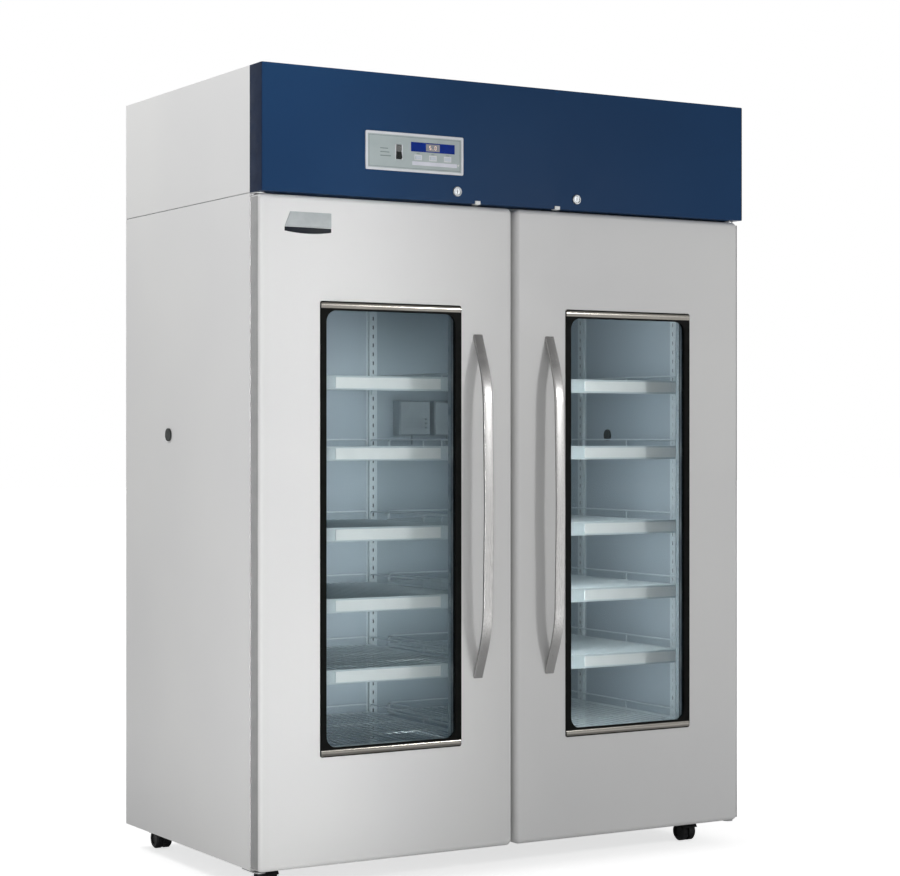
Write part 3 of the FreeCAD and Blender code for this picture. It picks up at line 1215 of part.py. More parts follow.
def condenser_fan_frame():
    """Shroud plate with a fan ring, four arms and the motor with its shaft."""
    half = CONDENSER_WIDTH / 2
    y0 = SHROUD_FRONT
    back = CONDENSER_DEPTH - FIT
    ring_radius = FAN_RADIUS + FAN_TIP_GAP
    plate = box(CONDENSER_X - half, CONDENSER_X + half, back - SHROUD_SHEET, back, DECK_Z,
                CONDENSER_Z0 + CONDENSER_HEIGHT)
    ring = rod(CONDENSER_X, y0, CONDENSER_FAN_Z, ALONG_Y, ring_radius + FAN_RING, back - y0)
    hole = rod(CONDENSER_X, y0 - 1, CONDENSER_FAN_Z, ALONG_Y, ring_radius, SHROUD_DEPTH + 2)
    shroud = fuse([plate, ring]).cut(hole)
    motor_back = CONDENSER_FAN_DEPTH - FAN_HUB_LENGTH / 2 - 1
    motor_front = motor_back - FAN_MOTOR_LENGTH
    motor = rod(CONDENSER_X, motor_front, CONDENSER_FAN_Z, ALONG_Y, FAN_MOTOR_RADIUS,
                FAN_MOTOR_LENGTH)
    shaft = rod(CONDENSER_X, motor_back - 1, CONDENSER_FAN_Z, ALONG_Y, FAN_SHAFT_RADIUS,
                FAN_HUB_LENGTH + 1)
    arms = []
    arm_y0 = motor_back - 20
    for angle in (45, 135, 225, 315):
        reach = ring_radius + FAN_RING
        arm = Part.makeBox(reach - FAN_MOTOR_RADIUS + 6, FAN_ARM, FAN_ARM,
                           Vector(FAN_MOTOR_RADIUS - 4, 0, -FAN_ARM / 2))
        post = Part.makeBox(FAN_ARM, y0 - arm_y0 + 1, FAN_ARM,
                            Vector(reach - 2, 0, -FAN_ARM / 2))
        bracket = fuse([arm, post])
        bracket.rotate(Vector(0, 0, 0), ALONG_Y, angle)
        bracket.translate(Vector(CONDENSER_X, FRONT + arm_y0, CONDENSER_FAN_Z))
        arms.append(bracket)
    return fuse([shroud, motor, shaft] + arms)


def compressor():
    """Welded shell turned from one outline, with a foot plate and its terminal box."""
    r = COMPRESSOR_RADIUS
    low = DECK_Z + COMPRESSOR_FOOT
    high = low + COMPRESSOR_HEIGHT
    seam = low + COMPRESSOR_HEIGHT * 0.55
    axis = Vector(COMPRESSOR_X, FRONT + COMPRESSOR_DEPTH, 0)

    def at(radius, z):
        return axis + Vector(radius, 0, z)

    dome = COMPRESSOR_DOME
    sphere = ((r - 3) ** 2 + dome ** 2) / (2 * dome)
    half_angle = math.asin((r - 3) / sphere) / 2
    half_way = at(sphere * math.sin(half_angle), high - sphere + sphere * math.cos(half_angle))
    edges = [
        Part.LineSegment(at(0, low), at(r - 22, low)).toShape(),
        Part.Arc(at(r - 22, low), at(r - 6, low + 7), at(r, low + 24)).toShape(),
        Part.LineSegment(at(r, low + 24), at(r, seam)).toShape(),
        Part.LineSegment(at(r, seam), at(r + 4, seam)).toShape(),
        Part.LineSegment(at(r + 4, seam), at(r + 4, seam + 6)).toShape(),
        Part.LineSegment(at(r + 4, seam + 6), at(r - 3, seam + 6)).toShape(),
        Part.LineSegment(at(r - 3, seam + 6), at(r - 3, high - dome)).toShape(),
        Part.Arc(at(r - 3, high - dome), half_way, at(0, high)).toShape(),
        Part.LineSegment(at(0, high), at(0, low)).toShape()]
    shell = Part.Face(Part.Wire(edges)).revolve(axis, ALONG_Z, 360)
    foot = box(COMPRESSOR_X - r - 20, COMPRESSOR_X + r + 20, COMPRESSOR_DEPTH - 55,
               COMPRESSOR_DEPTH + 55, low - 4, low + 0.5)
    terminal = box(COMPRESSOR_X - TERMINAL_WIDTH / 2, COMPRESSOR_X + TERMINAL_WIDTH / 2,
                   COMPRESSOR_DEPTH - r - TERMINAL_PROUD, COMPRESSOR_DEPTH - r / 2,
                   low + TERMINAL_LOW, low + TERMINAL_LOW + TERMINAL_HEIGHT)
    body = fuse([shell, foot, terminal])
    grommets = []
    for x in (COMPRESSOR_X - r - 8, COMPRESSOR_X + r + 8):
        for y in (COMPRESSOR_DEPTH - GROMMET_SPAN / 2, COMPRESSOR_DEPTH + GROMMET_SPAN / 2):
            grommets.append(rod(x, y, DECK_Z, ALONG_Z, GROMMET_RADIUS, COMPRESSOR_FOOT - 4))
    return [body] + grommets


def refrigerant_lines():
    """Discharge line, liquid line with its drier, and suction line, down to the evaporator."""
    low = DECK_Z + COMPRESSOR_FOOT
    coil_end = CONDENSER_X + CONDENSER_WIDTH / 2
    coil_y = CONDENSER_DEPTH + CONDENSER_THICKNESS / 2
    evaporator_end = EVAPORATOR_COIL_X0 + EVAPORATOR_COIL_WIDTH
    into_shell = COMPRESSOR_DEPTH + COMPRESSOR_RADIUS - 20
    step = LINE_HOLE_RADIUS * 0.4
    discharge_z = low + DISCHARGE_RISE
    discharge = tube([(COMPRESSOR_X - 30, into_shell, discharge_z),
                      (COMPRESSOR_X - 30, coil_y, discharge_z),
                      (coil_end, coil_y, discharge_z)], PIPE_RADIUS, PIPE_BEND)
    liquid_x = LINE_HOLE_X - step
    liquid_y = LINE_HOLE_DEPTH - step
    liquid_z = CONDENSER_Z0 + CONDENSER_HEIGHT / CONDENSER_ROWS
    liquid_low = EVAPORATOR_COIL_Z0 + EVAPORATOR_COIL_HEIGHT * 0.3
    liquid = tube([(coil_end, coil_y, liquid_z), (liquid_x, coil_y, liquid_z),
                   (liquid_x, liquid_y, liquid_z), (liquid_x, liquid_y, liquid_low),
                   (evaporator_end, liquid_y, liquid_low)], PIPE_RADIUS, PIPE_BEND)
    drier = rod(coil_end + DRIER_OFFSET, coil_y, liquid_z, ALONG_X, DRIER_RADIUS, DRIER_LENGTH)
    suction_x = LINE_HOLE_X + step
    suction_y = LINE_HOLE_DEPTH + step
    suction_z = low + SUCTION_RISE
    suction_low = EVAPORATOR_COIL_Z0 + EVAPORATOR_COIL_HEIGHT * 0.6
    suction = tube([(evaporator_end, suction_y, suction_low), (suction_x, suction_y, suction_low),
                    (suction_x, suction_y, suction_z), (suction_x, into_shell, suction_z)],
                   PIPE_RADIUS + 1, PIPE_BEND)
    shell = rod(COMPRESSOR_X, COMPRESSOR_DEPTH, low, ALONG_Z, COMPRESSOR_RADIUS + FIT,
                COMPRESSOR_HEIGHT)
    return [discharge.cut(shell), fuse([liquid, drier]), suction.cut(shell)]


def electrical_box():
    """Closed control box on the deck with an overlapping lid and a cable entry."""
    x0 = ELECTRIC_BOX_X - ELECTRIC_BOX_WIDTH / 2
    x1 = ELECTRIC_BOX_X + ELECTRIC_BOX_WIDTH / 2
    y0 = ELECTRIC_BOX_FRONT
    y1 = y0 + ELECTRIC_BOX_DEPTH
    z1 = DECK_Z + ELECTRIC_BOX_HEIGHT
    case = box(x0, x1, y0, y1, DECK_Z, z1 - 8)
    lid = box(x0 - 2, x1 + 2, y0 - 2, y1 + 2, z1 - 20, z1)
    lid = lid.makeChamfer(3, [edge for edge in lid.Edges if edge.CenterOfMass.z > z1 - 0.01])
    entry = rod(x1 - 1, (y0 + y1) / 2, DECK_Z + 40, ALONG_X, 10, 16)
    return fuse([case, lid, entry])


def power_inlet():
    """Cable gland with its hexagon nut, in the rear grille."""
    z = DECK_Z + GLAND_ABOVE_DECK
    y0 = BACK_SKIN + SHEET
    nut_thickness = 4.0
    nut = prism_back(hexagon(GLAND_X, z, 2 * GLAND_RADIUS), y0, y0 + nut_thickness)
    dome = Part.makeCone(GLAND_RADIUS - 1, GLAND_STEM_RADIUS - 1, LOUVRE_PROUD - nut_thickness + SHEET,
                         Vector(GLAND_X, FRONT + y0 + nut_thickness, z), ALONG_Y)
    stem = rod(GLAND_X, y0 - 5, z, ALONG_Y, GLAND_STEM_RADIUS, 6)
    ring = rod(GLAND_X, BACK_SKIN - 4, z, ALONG_Y, GLAND_RADIUS + 1, 4)
    bore = rod(GLAND_X, y0 - 20, z, ALONG_Y, GLAND_STEM_RADIUS / 2, 60)
    return fuse([nut, dome, stem, ring]).cut(bore)


EVAPORATOR_COIL_X0 = EVAPORATOR_FAN_X + EVAPORATOR_FAN_RADIUS + 40
EVAPORATOR_COIL_Z0 = LINER_Z1 - EVAPORATOR_COIL_HEIGHT - 4
EVAPORATOR_FAN_DEPTH = EVAPORATOR_FRONT + EVAPORATOR_COVER_DEPTH / 2
EVAPORATOR_FAN_Z = EVAPORATOR_Z0 + FAN_HUB_LENGTH / 2 + 6


def evaporator_cover():
    """Duct under the ceiling, open above, with a fan mouth below and a slotted front."""
    half = EVAPORATOR_WIDTH / 2
    t = EVAPORATOR_SHEET
    y0 = EVAPORATOR_FRONT
    y1 = y0 + EVAPORATOR_COVER_DEPTH
    z0 = EVAPORATOR_Z0
    shell = box(-half, half, y0, y1, z0, LINER_Z1)
    shell = rounded(shell, 12.0, lambda x, y, z, along: y < y0 + 1 and z < z0 + 1)
    inside = box(-half + t, half - t, y0 + t, y1 - t, z0 + t, LINER_Z1 + 1)
    ring_radius = EVAPORATOR_FAN_RADIUS + FAN_TIP_GAP
    mouth = rod(EVAPORATOR_FAN_X, EVAPORATOR_FAN_DEPTH, z0 - 1, ALONG_Z, ring_radius, 10)
    slots = []
    count = 9
    pitch = (EVAPORATOR_WIDTH - 160) / count
    for index in range(count):
        x = -half + 80 + index * pitch
        slots.append(box(x + 8, x + pitch - 8, y0 - 1, y0 + 4, z0 + 45, z0 + 85))
    shell = shell.cut([inside, mouth] + slots)
    spider_z = EVAPORATOR_FAN_Z + FAN_HUB_LENGTH / 2 + 1
    motor = rod(EVAPORATOR_FAN_X, EVAPORATOR_FAN_DEPTH, spider_z, ALONG_Z, FAN_MOTOR_RADIUS - 4,
                40)
    shaft = rod(EVAPORATOR_FAN_X, EVAPORATOR_FAN_DEPTH, spider_z - FAN_HUB_LENGTH, ALONG_Z,
                FAN_SHAFT_RADIUS, FAN_HUB_LENGTH + 1)
    beam = box(EVAPORATOR_FAN_X - 10, EVAPORATOR_FAN_X + 10, y0 + t - 0.5, y1 - t + 0.5,
               spider_z + 8, spider_z + 14)
    return fuse([shell, motor, shaft, beam])


def evaporator_fan():
    rotor = fan_rotor(EVAPORATOR_FAN_RADIUS)
    rotor.translate(Vector(EVAPORATOR_FAN_X, FRONT + EVAPORATOR_FAN_DEPTH, EVAPORATOR_FAN_Z))
    return rotor


def evaporator_coil():
    y0 = EVAPORATOR_FRONT + 60
    coil = finned_coil(EVAPORATOR_COIL_X0, EVAPORATOR_COIL_X0 + EVAPORATOR_COIL_WIDTH, y0,
                       y0 + EVAPORATOR_COIL_DEPTH, EVAPORATOR_COIL_Z0,
                       EVAPORATOR_COIL_Z0 + EVAPORATOR_COIL_HEIGHT, EVAPORATOR_ROWS)
    hangers = [box(x, x + 16, y0 + 40, y0 + EVAPORATOR_COIL_DEPTH - 40,
                   EVAPORATOR_COIL_Z0 + EVAPORATOR_COIL_HEIGHT - 1, LINER_Z1)
               for x in (EVAPORATOR_COIL_X0 + 30,
                         EVAPORATOR_COIL_X0 + EVAPORATOR_COIL_WIDTH - 46)]
    return fuse([coil] + hangers)


def drip_tray():
    """Sloping tray under the evaporator coil, with a drain spout at its low end."""
    x0 = EVAPORATOR_COIL_X0 - 20
    x1 = EVAPORATOR_COIL_X0 + EVAPORATOR_COIL_WIDTH + 20
    y0 = EVAPORATOR_FRONT + 40
    y1 = y0 + EVAPORATOR_COIL_DEPTH + 40
    low = EVAPORATOR_Z0 + EVAPORATOR_SHEET
    rim = EVAPORATOR_COIL_Z0 - 4
    t = 1.5
    outer = prism_back([(x0, low + 14), (x1, low), (x1, rim), (x0, rim)], y0, y1)
    inner = prism_back([(x0 + t, low + 14 + t), (x1 - t, low + t), (x1 - t, rim + 1),
                        (x0 + t, rim + 1)], y0 + t, y1 - t)
    spout = rod(x1 - 30, y1 - 2, low + 9, ALONG_Y, 7, 50)
    spout_bore = rod(x1 - 30, y1 - 4, low + 9, ALONG_Y, 5, 60)
    return fuse([outer.cut(inner), spout]).cut(spout_bore)


# Casters, made at the origin of the swivel axis on the floor

def placed_on_corner(shapes, side, depth):
    moved = [shape.copy() for shape in shapes]
    for shape in moved:
        shape.translate(Vector(side * CASTER_X, FRONT + depth, 0))
    return moved


def caster_plate():
    """Top plate with the kingpin that the fork turns on."""
    half = CASTER_PLATE / 2
    plate = Part.makeBox(CASTER_PLATE, CASTER_PLATE, CASTER_PLATE_THICKNESS,
                         Vector(-half, -half, SWIVEL_TOP_Z))
    kingpin = Part.makeCylinder(KINGPIN_RADIUS, KINGPIN_LENGTH + 1,
                                Vector(0, 0, SWIVEL_TOP_Z - KINGPIN_LENGTH))
    return fuse([plate, kingpin])


def caster_fork():
    """Moulded body between the twin wheels, with a hood over them and the swivel boss."""
    hood_radius = WHEEL_RADIUS + CASTER_HOOD
    wheel_side = CASTER_WEB / 2 + WHEEL_WIDTH + FIT
    axis = Vector(0, WHEEL_TRAIL, WHEEL_AXIS_Z)
    hood = Part.makeCylinder(hood_radius + CASTER_HOOD, 2 * wheel_side,
                             axis - Vector(wheel_side, 0, 0), ALONG_X)
    hollow = Part.makeCylinder(hood_radius, 2 * wheel_side + 2,
                               axis - Vector(wheel_side + 1, 0, 0), ALONG_X)
    reach = 3 * WHEEL_RADIUS
    below = Part.makeBox(2 * reach, 2 * reach, reach,
                         Vector(-reach, WHEEL_TRAIL - reach, WHEEL_AXIS_Z + 12 - reach))
    arch = hood.cut([hollow, below])
    web = Part.makeCylinder(hood_radius + CASTER_HOOD - 1, CASTER_WEB,
                            axis - Vector(CASTER_WEB / 2, 0, 0), ALONG_X)
    floor_cut = Part.makeBox(2 * reach, 2 * reach, reach,
                             Vector(-reach, WHEEL_TRAIL - reach, WHEEL_AXIS_Z - 9 - reach))
    web = web.cut(floor_cut)
    boss_low = SWIVEL_TOP_Z - KINGPIN_LENGTH - 4
    boss = Part.makeCylinder(15, SWIVEL_TOP_Z - FIT - boss_low, Vector(0, 0, boss_low))
    above = Part.makeBox(2 * reach, 2 * reach, reach,
                         Vector(-reach, WHEEL_TRAIL - reach, SWIVEL_TOP_Z - FIT))
    wheel_space = Part.makeCylinder(hood_radius, 2 * wheel_side, axis - Vector(wheel_side, 0, 0),
                                    ALONG_X)
    web_core = Part.makeBox(CASTER_WEB, 2 * reach, reach,
                            Vector(-CASTER_WEB / 2, WHEEL_TRAIL - reach, 0))
    boss = boss.cut(wheel_space.cut(web_core))
    pin_hole = Part.makeCylinder(KINGPIN_RADIUS + RUNNING, KINGPIN_LENGTH + 2,
                                 Vector(0, 0, SWIVEL_TOP_Z - KINGPIN_LENGTH - 1))
    axle_hole = Part.makeCylinder(WHEEL_AXLE_RADIUS + RUNNING, CASTER_WEB + 2,
                                  axis - Vector(CASTER_WEB / 2 + 1, 0, 0), ALONG_X)
    return fuse([arch, web, boss]).cut([pin_hole, axle_hole, above])


def caster_wheel():
    """Pair of tyred discs on one axle, with chamfered treads and dished outer faces."""
    axis = Vector(0, WHEEL_TRAIL, WHEEL_AXIS_Z)
    inner = CASTER_WEB / 2 + FIT
    outer = inner + WHEEL_WIDTH - FIT
    edge = WHEEL_CHAMFER
    dish = WHEEL_RADIUS * 0.55
    section = [(0, inner), (WHEEL_RADIUS, inner), (WHEEL_RADIUS, outer - edge),
               (WHEEL_RADIUS - edge, outer), (dish, outer), (dish, outer - 3), (0, outer - 3)]
    discs = []
    for side in (-1, 1):
        wire = polygon_wire([axis + Vector(side * out, 0, radius) for radius, out in section])
        discs.append(Part.Face(wire).revolve(axis, ALONG_X, 360))
    axle = Part.makeCylinder(WHEEL_AXLE_RADIUS, 2 * inner + 4, axis - Vector(inner + 2, 0, 0),
                             ALONG_X)
    return fuse(discs + [axle])


def write_cabinet():
    save("side_panels", side_panels())
    save("back_panel", [back_panel()])
    save("base_pan", [base_pan()])
    save("insulation_boards", insulation_boards())
    save("inner_liner", [inner_liner()])
    save("center_mullion", [center_mullion()])
    save("deck_plate", [deck_plate()])
    save("rear_grille", [rear_grille()])
    save("top_cover", [top_cover()])
    save("port_plugs", [port_plug(side, inner) for side in (-1, 1) for inner in (False, True)])
    bracket_top = hinge_bracket(True)
    bracket_low = hinge_bracket(False)
    save("hinge_brackets", [bracket_top, bracket_low, mirrored(bracket_top), mirrored(bracket_low)])


def write_header():
    save("header_fascia", [header_fascia()])
    save("control_bezel", [control_bezel()])
    save("display_window", [display_window()])
    save("control_board", [control_board()])
    save("power_rocker", [power_rocker()])
    for name, x in zip(("set_key", "up_key", "down_key"), KEY_CENTERS):
        save(name, [panel_key(x)])
    save("lock_housings", lock_housing(-1) + lock_housing(1))
    save("left_lock_cylinder", [lock_cylinder(-1)])
    save("right_lock_cylinder", [lock_cylinder(1)])
    save("door_sensors", [door_sensor(-1), door_sensor(1)])


def write_doors():
    pieces = {"door_panel": [door_panel()], "door_insulation": [door_insulation()],
              "window_frame": window_frame(), "glass_unit": glass_unit(),
              "gasket": [door_gasket()], "handle": [door_handle()]}
    for name, solids in pieces.items():
        save("right_" + name, solids)
        save("left_" + name, [mirrored(solid) for solid in solids])


def write_interior():
    shelves = [wire_shelf(level) for level in SHELF_LEVELS]
    save("wire_shelves", shelves + [mirrored(shelf) for shelf in shelves] + shelf_guards())
    save("label_holders", [label_holder(level, center) for level in SHELF_LEVELS
                           for center in (LEFT_LABEL_CENTER, RIGHT_LABEL_CENTER)])
    save("shelf_supports", shelf_pilasters() + shelf_clips())
    save("lamp_bars", lamp_bars())
    save("temperature_probe", temperature_probe())
    save("evaporator_cover", [evaporator_cover()])
    save("evaporator_coil", [evaporator_coil()])
    save("evaporator_fan", [evaporator_fan()])
    save("drip_tray", [drip_tray()])


def write_cooling_unit():
    save("compressor", compressor())
    save("condenser_coil", [condenser_coil()])
    save("condenser_fan_frame", [condenser_fan_frame()])
    save("condenser_fan", [condenser_fan()])
    save("refrigerant_lines", refrigerant_lines())
    save("electrical_box", [electrical_box()])
    save("power_inlet", [power_inlet()])


def write_casters():
    plates = []
    corners = {"front_left": (-1, CASTER_FRONT), "front_right": (1, CASTER_FRONT),
               "rear_left": (-1, CASTER_REAR), "rear_right": (1, CASTER_REAR)}
    for name, (side, depth) in corners.items():
        plates += placed_on_corner([caster_plate()], side, depth)
        save(name + "_caster_fork", placed_on_corner([caster_fork()], side, depth))
        save(name + "_caster_wheels", placed_on_corner([caster_wheel()], side, depth))
    save("caster_plates", plates)


write_cabinet()
write_header()
write_doors()
write_interior()
write_cooling_unit()
write_casters()
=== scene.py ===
"""Looks of a two-door pharmacy refrigerator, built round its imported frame."""

import math

import bmesh
import bpy
import numpy as np
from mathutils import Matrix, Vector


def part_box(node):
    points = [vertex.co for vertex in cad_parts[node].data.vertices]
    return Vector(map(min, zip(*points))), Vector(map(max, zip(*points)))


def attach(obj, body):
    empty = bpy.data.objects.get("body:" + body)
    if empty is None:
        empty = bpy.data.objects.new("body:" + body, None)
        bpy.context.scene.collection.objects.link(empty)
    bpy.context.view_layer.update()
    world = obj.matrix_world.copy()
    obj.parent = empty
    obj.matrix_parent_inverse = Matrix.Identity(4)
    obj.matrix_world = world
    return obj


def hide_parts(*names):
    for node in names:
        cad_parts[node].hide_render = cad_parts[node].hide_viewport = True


MM = 0.001

# Photograph and camera: a level view from the left front, found from the cabinet's corners
PHOTO_WIDTH = 900
CAMERA_FOCUS_PX = 2209.5
CAMERA_YAW = math.radians(30.995)
CAMERA_PLACE = (-3.0115, -5.0777, 1.0937)
SENSOR_WIDTH = 36.0

# Meshes: points closer than this (in metres) are one, and edges below this angle look round
MERGE_DISTANCE = 1e-6
SMOOTH_BELOW = math.radians(40)

# Inside fittings, in millimetres; depths are counted from the front edge of the side panels
SHELF_LEVELS = (317.5, 505.0, 680.0, 855.0, 1055.0, 1230.0)
SHELF_X0, SHELF_X1 = 25.0, 640.0
SHELF_Y0, SHELF_Y1 = 61.5, 660.0
DECK_ABOVE_LEVEL = 14.0
RIM_ROD = 7.0
RIM_CORNER = 9.0
RIM_DROP = 1.0
CROSS_ROD = 5.0
CROSS_RODS = 2
WELD_DEPTH = 0.6
DECK_WIRE = 3.6
DECK_WIRES = 25
GUARD_ROD = 4.0
GUARD_RISE = 22.0
GUARD_FOOT = 2.0
GUARD_CORNER = 8.0
APRON_HEIGHT = 36.0
APRON_LIP = 4.0
APRON_DEPTH = 4.0
APRON_SHEET = 1.2
APRON_BEND = 1.2

# Door furniture
HANDLE_CENTER = 107.0
HANDLE_BOTTOM = 488.0
HANDLE_LENGTH = 870.0
HANDLE_WIDTH = 27.0
HANDLE_THICKNESS = 9.0
HANDLE_EDGE = 3.6
HANDLE_RISE = 125.0
HANDLE_SHOULDER = 49.0
HANDLE_CROWN = 55.9
HANDLE_SINK = 5.0
SHOULDER_RADIUS = 300.0
BOW_RADIUS = 2600.0
BADGE_X0, BADGE_X1 = -647.0, -522.0
BADGE_SLANT = 15.0
BADGE_Z0, BADGE_SPLIT, BADGE_Z1 = 1584.0, 1597.0, 1633.0
BADGE_RISE = 1.6
BADGE_SINK = 0.3
BADGE_CORNER = 1.5
BADGE_GROOVE = 0.8
BADGE_SAG = 5.0
PLATE_EDGE, BAR_EDGE = 0.6, 0.5
TRIM_X0, TRIM_X1 = 158.0, 550.0
TRIM_HEIGHT = 16.0
TRIM_BOTTOMS = (329.0, 1405.0)
TRIM_SHEET = 0.8
TRIM_RISE = 2.6
TRIM_LEDGE = 0.1
WINDOW_X0, WINDOW_X1 = 156.0, 552.0
GLASS_RECESS = 8.0
PANE = 4.0
PANE_SPACE = 12.0
SPACER_WIDTH = 8.0
SPACER_CORNER = 3.0
SEAL_WIDTH = 2.0
RETAINER_WIDTH = 5.0
RETAINER_CORNER = 6.0
RETAINER_GAP = 0.6
RING_SHEET = 0.3
RING_GAP = 0.2

# Uprights that carry the shelves
UPRIGHT_DEPTH = 10.0
UPRIGHT_PLACES = (150.0, 600.0)
MULLION_DEPTH = 50.0
SLOT = (3.2, 11.0)
SLOT_CORNER = 1.2
SLOT_RISE = 0.15
SLOT_PITCH = 25.0
SLOT_BOTTOM_MARGIN, SLOT_TOP_MARGIN = 14.0, 10.0

# Screws: diameters; the head's rise and the recess's reach as shares of the diameter, and the
# washer's reach as a share of the radius; then their places
SHEET_SCREW, CASTER_SCREW = 10.0, 9.0
HEAD_RISE = 0.32
WASHER_REACH = 1.35
WASHER_EDGE, WASHER_RISE = 0.5, 0.6
RECESS_REACH = 0.26
RECESS_TURN = 0.4
SCREW_MARGIN = 13.0
SCREWS_IN_ROW = 7
ROW_BOTTOM_MARGIN, ROW_TOP_MARGIN = 45, 60
CASTER_PLATE = (64.0, 3.0)
CASTER_BOLT_REACH = 24.0

# Thin strips and caps: margins are what they leave free of the part they lie on
STRIP_MARGIN, STRIP_WIDTH, STRIP_CORNER = 4.0, 10.0, 1.0
STRIP_RISE, STRIP_EDGE = 0.8, 0.3
EDGE_MARGINS, EDGE_CORNER, EDGE_SHIFT = (6.0, 14.0), 1.0, 2.0
CAP_MARGINS, CAP_CORNER = (0.6, 1.0), 0.6
CAP_RISE, CAP_EDGE = 0.5, 0.2
MEETING_HALF, MEETING_MARGIN, MEETING_CORNER = 5.5, 12.0, 1.0
MEETING_RISE, MEETING_EDGE = 2.0, 0.8

# Locks: their nuts, half as wide as this across corners and across flats, fill the box of the
# housings, which gives the centres; then the ring's middle radius, half width and height
NUT_HALF_CORNERS, NUT_HALF_FLATS = 15.0, 13.0
LOCK_RING_RADIUS, LOCK_RING_HALF, LOCK_RING_RISE = 10.2, 2.2, 1.9

# Control panel; its parts are placed from the CAD boxes of bezel, display, keys and rocker
PANEL_RIM = 6.0
PANEL_RECESS = 1.0
INK = 0.08
FILM_MARGIN = 0.3
LENS_BORDER = 3.0
LENS_LAP = 0.4
KEY_CLEARANCE, ROCKER_CLEARANCE = 1.2, 1.0
FRAME_GAP, FRAME_LINE = 3.0, 0.9
KEY_MARK_HALF, KEY_MARK_BOTTOM, KEY_MARK_TOP = 4.5, 1.6, 3.0
PRINT_ROWS = 3
PRINT_START, PRINT_PITCH, PRINT_HEIGHT, PRINT_CORNER = 6.0, 9.0, 2.4, 0.8
PRINT_LEFT, PRINT_RIGHT, PRINT_STEP = 42.0, 12.0, 4.0
LABEL_X0, LABEL_X1 = -308.0, -180.0
LABEL_BOTTOM, LABEL_TOP, LABEL_CORNER = 12.6, 3.4, 1.0
INDICATOR_PLACE = (-176.0, 1768.0)
INDICATOR_DOME = ((0.0, 1.2), (1.6, 1.0), (2.3, 0.3), (2.4, 0.0))
DIGIT_WINDOW_X0, DIGIT_WINDOW_X1, DIGIT_WINDOW_MARGIN = -268.5, -229.5, 3.0
DIGITS = (("5", -256.5), ("0", -241.5))
DIGIT_HEIGHT = 10.0
DIGIT_WIDTH = 5.4
POINT_X0, POINT_X1, POINT_HEIGHT = -249.8, -248.2, 1.6
SEGMENT = 1.3
SEGMENT_GAP, SEGMENT_CORNER = 0.3, 0.3

# Glow of the lit parts
LAMP_STRENGTH, DIGIT_STRENGTH, FILM_STRENGTH = 0.6, 0.55, 0.05

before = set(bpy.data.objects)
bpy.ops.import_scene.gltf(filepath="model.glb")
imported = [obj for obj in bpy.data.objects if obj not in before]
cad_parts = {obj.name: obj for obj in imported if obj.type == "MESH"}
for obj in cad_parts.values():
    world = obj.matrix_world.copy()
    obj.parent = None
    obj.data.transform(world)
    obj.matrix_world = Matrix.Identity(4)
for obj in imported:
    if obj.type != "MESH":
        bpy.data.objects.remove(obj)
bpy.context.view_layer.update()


def box_mm(node):
    """Lowest and highest corner of a CAD node, in millimetres."""
    low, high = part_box(node)
    return np.array(low) / MM, np.array(high) / MM


FRONT = box_mm("side_panels")[0][1]
DOOR_SKIN = box_mm("left_door_panel")[0][1]
RIM_X = SHELF_X0 + RIM_ROD / 2, SHELF_X1 - RIM_ROD / 2
RIM_Y = FRONT + SHELF_Y0 + RIM_ROD / 2, FRONT + SHELF_Y1 - RIM_ROD / 2
UP = (0, 0, 1)
FACING = ((1, 0, 0), UP)


# Shapes

def ring_faces(rings, around, closed=False):
    """Faces of a grid of rings: corner (i, j) joins (i, j+1), (i+1, j+1) and (i+1, j). Rings
    that aren't closed to a loop get a flat cap at each end."""
    i = np.arange(rings if closed else rings - 1)[:, None]
    j = np.arange(around)[None, :]
    following = (i + 1) % rings
    beside = (j + 1) % around
    quads = np.stack(np.broadcast_arrays(i * around + j, i * around + beside,
                                         following * around + beside,
                                         following * around + j), -1).reshape(-1, 4)
    faces = quads.tolist()
    if not closed:
        faces.append(list(range(around))[::-1])
        faces.append(list(range((rings - 1) * around, rings * around)))
    return faces


def rounded_route(corners, radii, closed=False, steps=6):
    """Straight runs joined by arcs. The arc at a corner starts r*tan(turn/2) before it, and
    point k of it is centre - r*(cos t, sin t) in the plane of the two runs."""
    corners = np.asarray(corners, float)
    count = len(corners)
    points = [] if closed else [corners[0]]
    for k in range(0 if closed else 1, count if closed else count - 1):
        here = corners[k]
        into = here - corners[k - 1]
        away = corners[(k + 1) % count] - here
        into /= np.linalg.norm(into)
        away /= np.linalg.norm(away)
        turn = math.acos(np.clip(into @ away, -1, 1))
        radius = radii[k] if np.ndim(radii) else radii
        if turn < 1e-4 or radius <= 0:
            points.append(here)
            continue
        inward = away - into * (into @ away)
        inward /= np.linalg.norm(inward)
        start = here - into * radius * math.tan(turn / 2)
        t = np.linspace(0, turn, steps + 1)[:, None]
        points += list(start + radius * (np.sin(t) * into + (1 - np.cos(t)) * inward))
    if not closed:
        points.append(corners[-1])
    return np.array(points)


def directions(route, closed=False):
    """Unit direction at each point of a route, the mean of its two runs."""
    if closed:
        step = np.roll(route, -1, 0) - route
        step /= np.linalg.norm(step, axis=1, keepdims=True)
        both = step + np.roll(step, 1, 0)
    else:
        step = np.diff(route, axis=0)
        step /= np.linalg.norm(step, axis=1, keepdims=True)
        both = np.concatenate([step[:1], step[1:] + step[:-1], step[-1:]])
    return both / np.linalg.norm(both, axis=1, keepdims=True)


